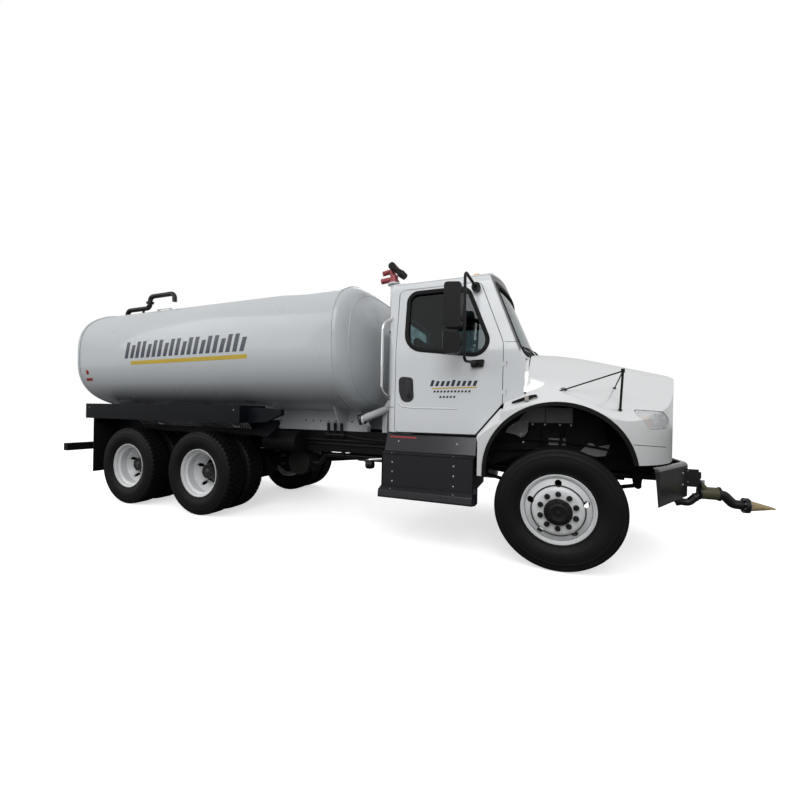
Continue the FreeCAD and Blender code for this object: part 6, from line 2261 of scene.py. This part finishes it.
@dataclass
class TrayDetails:
    """Pierced strips, hooks and end gussets under the side trays, with a dark sheet of painted shade under
    each tray and the strips' holes as dark plates of painted shade.
    """

    hole_start: float = -5.335
    hole_pitch: float = 0.0395
    hole_count: int = 49
    hole_radius: float = 0.009
    hole_depth: float = 0.0012

    def build(self, frame: dict) -> None:
        """Adds all of them.

        Args:
            frame: the loaded frame.
        """
        skin = Skin(frame["nodes"]["side_trays"])
        gusset = (
            (-3.395, 1.164), (-3.395, 1.010), (-3.250, 0.990), (-3.060, 1.150), (-3.060, 1.185),
            (-3.150, 1.190),
        )
        hook = ((-0.02, 1.105, 1.162), (-0.015, 1.112, 1.128), (0.035, 1.100, 1.112), (0.06, 1.085, 1.120))
        strip, dark, bright = Builder(), Builder(), Builder()
        for side in Side:
            s = side.value
            section = ((1.085, 1.163), (1.020, 1.100), (1.020, 1.096), (1.085, 1.159))
            strip.prism(ahead(*((-5.360, s * y, z) for y, z in section)), Vector((1.960, 0, 0)))
            near, far = sorted((s * 0.905, s * 0.910))
            # A dark sheet of painted shade hangs under the tray.
            dark.box(*ahead((-6.240, near, 1.010), (-3.395, far, 1.164)))
            dark.prism(ahead(*((x, s * 0.912, z) for x, z in gusset)), Vector((0, s * 0.006, 0)))
            for end in (-4.896, -3.587):
                bright.tube(ahead(*((end + x, s * y, z) for x, y, z in hook)), 0.009, 10, 0.02)
            for x in (-3.471, -6.180):
                place, normal = skin.side(side)(x, 1.319)
                bright.head(place, normal, 0.008, -0.002, 0.003, 0.005, 12)
            self.holes(dark, s)
        strip.finish("tray_strips", ALUMINIUM, "chassis", "aluminium")
        dark.finish("tray_backs", TRAY_BLACK, "chassis", "black_frame")
        bright.finish("tray_hooks", ZINC, "chassis", "steel")

    def holes(self, work: Builder, s: int) -> None:
        """Marks the strip's row of holes as dark plates of painted shade."""
        way = Vector((0.0, s * 0.065, 0.063)).normalized()
        out = Vector((0.0, s * 0.063, -0.065)).normalized()
        for row in range(2):
            for k in range(self.hole_count):
                start = Vector(
                    (from_axle(self.hole_start + self.hole_pitch * k + 0.019 * row), s * 1.020, 1.098)
                )
                middle = start + way * (0.030 + 0.032 * row) + out * self.hole_depth
                ring = []
                for i in range(6):
                    turn = math.pi * i / 3
                    across = Vector((math.cos(turn), 0, 0)) * self.hole_radius
                    ring.append(tuple(middle + across + way * (math.sin(turn) * self.hole_radius)))
                work.prism(ring, out * self.hole_depth)


@dataclass
class SideGear:
    """Holes in the tank's sills as dark discs of painted shade, valves, lines and the drain pipe along the
    frame.
    """

    sill_holes: tuple[tuple[float, float, int, float], ...] = (
        (-5.98, 0.11, 20, 1.118), (-3.018, 0.114, 7, 1.200),
    )
    valves: tuple[float, ...] = (-2.640, -2.545, -2.450)
    line_y: float = -0.470
    cover_way: Point = (-0.45, -1.0, 0.0)

    def build(self, frame: dict) -> None:
        """Adds all of them.

        Args:
            frame: the loaded frame.
        """
        cradle = Skin(frame["nodes"]["tank_cradle"])
        dark, steel, pipe = Builder(), Builder(), Builder()
        for side in Side:
            face = cradle.side(side)
            # Dark discs of painted shade stand for the holes in the sills.
            for start, pitch, count, z in self.sill_holes:
                for k in range(count):
                    place, normal = face(start + pitch * k, z)
                    dark.head(place, normal, 0.011, -0.001, 0.0008, 0.0008, 12)
        y = self.line_y
        dark.lathe(
            [(0.0, 0.0), (0.052, 0.0), (0.056, 0.012), (0.056, 0.046), (0.050, 0.058), (0.0, 0.058)],
            (from_axle(-2.075), -0.585, 1.238), self.cover_way, 32,
        )
        for turn in turns(8):
            steel.head(
                (from_axle(-2.10 + 0.042 * math.cos(turn)), -0.640, 1.238 + 0.044 * math.sin(turn)),
                self.cover_way, 0.006, 0.0, 0.006, 0.007, 6,
            )
        for x in self.valves:
            dark.tube(ahead((x, y, 1.000), (x, y - 0.010, 1.180)), 0.020, 16)
            steel.head((from_axle(x), y - 0.012, 1.180), (0, 0, 1), 0.014, 0.0, 0.020, 0.024, 12)
        dark.tube(ahead((-2.690, y, 1.030), (-2.400, y, 1.030)), 0.026, 16)
        dark.tube(ahead((-2.400, y, 1.030), (-2.20, y - 0.02, 1.00), (-1.86, y, 0.98)), 0.011, 10, 0.06)
        pipe.tube(
            ahead((-1.985, -0.760, 0.775), (-1.905, -0.800, 0.790), (-1.750, -0.800, 0.808)), 0.019, 16,
            0.05,
        )
        dark.lathe(
            [(0.0, -0.045), (0.045, -0.040), (0.052, 0.0), (0.045, 0.040), (0.0, 0.045)],
            (from_axle(-1.915), -0.780, 0.735), (1, 0, 0.1), 24,
        )
        for x in (-3.516, -3.417):
            steel.head((from_axle(x), -0.445, 1.018), (0, -1, 0), 0.012, 0.0, 0.010, 0.012, 12)
        for z in (0.905, 0.955):
            dark.tube(ahead((-5.9, -0.450, z), (-3.4, -0.452, z + 0.012), (-1.75, -0.452, z)), 0.009, 8, 0.1)
        dark.finish("side_fittings", PIPE_BLACK, "chassis", "black_pipe")
        steel.finish("side_bolts", ZINC, "chassis", "steel")
        pipe.finish("drain_pipe", CHROME, "chassis", "chrome")


# Stage


@dataclass
class Studio:
    """Camera, lamps, floor and backdrop."""

    eye: Point = (from_axle(-0.1210), -4.7257, 1.3161)
    yaw: float = 23.0736
    roll: float = 1.0934
    focal_pixels: float = 384.503
    centre: tuple[float, float] = (380.146, 413.027)
    picture: float = 800.0
    lights: tuple[tuple[str, Point, float, float], ...] = (
        ("key", (3.0, -9.0, 8.0), 7.0, 470.0),
        ("fill", (-7.0, -7.0, 6.0), 6.0, 200.0),
        ("rear", (-4.0, 9.0, 7.0), 7.0, 240.0),
    )
    sky: tuple[tuple[str, float], ...] = (
        ("Is Camera Ray", 1.0), ("Is Transmission Ray", 1.0), ("Is Glossy Ray", 0.62),
        ("Is Diffuse Ray", 0.60),
    )

    def build(self) -> None:
        """Puts everything round the truck."""
        self.camera()
        self.lamps()
        self.floor()

    def camera(self) -> None:
        """Stands the camera where the picture was taken."""
        data = bpy.data.cameras.new("view")
        camera = bpy.data.objects.new("view", data)
        bpy.context.scene.collection.objects.link(camera)
        bpy.context.scene.camera = camera
        data.sensor_width = 36.0
        data.lens = self.focal_pixels / self.picture * data.sensor_width
        data.shift_x = (self.picture / 2 - self.centre[0]) / self.picture
        data.shift_y = (self.centre[1] - self.picture / 2) / self.picture
        data.clip_start, data.clip_end = 0.05, 200.0
        yaw, roll = math.radians(self.yaw), math.radians(self.roll)
        ahead = Vector((-math.sin(yaw), math.cos(yaw), 0.0))
        right = Vector((math.cos(yaw), math.sin(yaw), 0.0))
        up = right.cross(ahead)
        tilted_right = right * math.cos(roll) + up * math.sin(roll)
        tilted_up = up * math.cos(roll) - right * math.sin(roll)
        turn = Matrix((tilted_right, tilted_up, -ahead)).transposed().to_4x4()
        camera.matrix_world = Matrix.Translation(Vector(self.eye)) @ turn

    def lamps(self) -> None:
        """Lights the truck softly from above and from the camera's side."""
        for name, place, size, power in self.lights:
            data = bpy.data.lights.new(name, "AREA")
            data.shape, data.size, data.energy = "SQUARE", size, power
            lamp = bpy.data.objects.new(name, data)
            bpy.context.scene.collection.objects.link(lamp)
            lamp.location = place
            lamp.rotation_mode = "QUATERNION"
            lamp.rotation_quaternion = (Vector((0, 0, 1.3)) - Vector(place)).to_track_quat("-Z", "Y")

    def floor(self) -> None:
        """Lays a pale floor that the camera sees as white, with the truck's shadow, under a white sky."""
        mesh = bpy.data.meshes.new("floor")
        reach = 60.0
        mesh.from_pydata(
            [(-reach, -reach, 0), (reach, -reach, 0), (reach, reach, 0), (-reach, reach, 0)], [],
            [(0, 1, 2, 3)],
        )
        floor = bpy.data.objects.new("floor", mesh)
        bpy.context.scene.collection.objects.link(floor)
        mesh.materials.append(Glow("floor_pale", (0.86, 0.86, 0.86), (0.13, 0.13, 0.13), 0.60).material())
        world = bpy.data.worlds.new("sky")
        bpy.context.scene.world = world
        world.use_nodes = True
        tree = world.node_tree
        back = tree.nodes["Background"]
        paths = tree.nodes.new("ShaderNodeLightPath")
        total = None
        for name, level in self.sky:
            share = tree.nodes.new("ShaderNodeMath")
            share.operation = "MULTIPLY"
            tree.links.new(paths.outputs[name], share.inputs[0])
            share.inputs[1].default_value = level
            if total is not None:
                most = tree.nodes.new("ShaderNodeMath")
                most.operation = "MAXIMUM"
                tree.links.new(total, most.inputs[0])
                tree.links.new(share.outputs[0], most.inputs[1])
                share = most
            total = share.outputs[0]
        tree.links.new(total, back.inputs["Strength"])
        back.inputs["Color"].default_value = (1.0, 1.0, 1.0, 1.0)


@dataclass
class ModelledPieces:
    """The pieces that come with the frame and keep their shape."""

    finishes: dict = field(default_factory=lambda: dict(SLOT_FINISH))
    own: dict = field(default_factory=lambda: dict(NODE_FINISH))

    def build(self, frame: dict) -> None:
        """Gives each modelled piece its finish.

        Args:
            frame: the loaded frame.
        """
        slots = {row["node"]: row["material_slot"] for row in frame["record"]["subparts"]}
        for node, piece in frame["nodes"].items():
            finish = self.own.get(node) or self.finishes[slots[node]]
            piece.data.materials.clear()
            piece.data.materials.append(finish.material())
            LOG.info("%s finished as %s", node, finish.name)


def main() -> None:
    """Dresses the truck."""
    logging.basicConfig(level=logging.INFO, format="%(name)s: %(message)s")
    bpy.context.scene.view_settings.view_transform = "Standard"
    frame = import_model()
    ModelledPieces().build(frame)
    Wheels().build()
    FrontDiscs().build()
    TankMarks().build(frame)
    CabDetails().build(frame)
    Seats().build()
    Headlamps().build(frame)
    HoodDetails().build(frame)
    FrontDetails().build(frame)
    StepBox().build(frame)
    TrayDetails().build(frame)
    SideGear().build(frame)
    Studio().build()


if __name__ == "__main__":
    main()
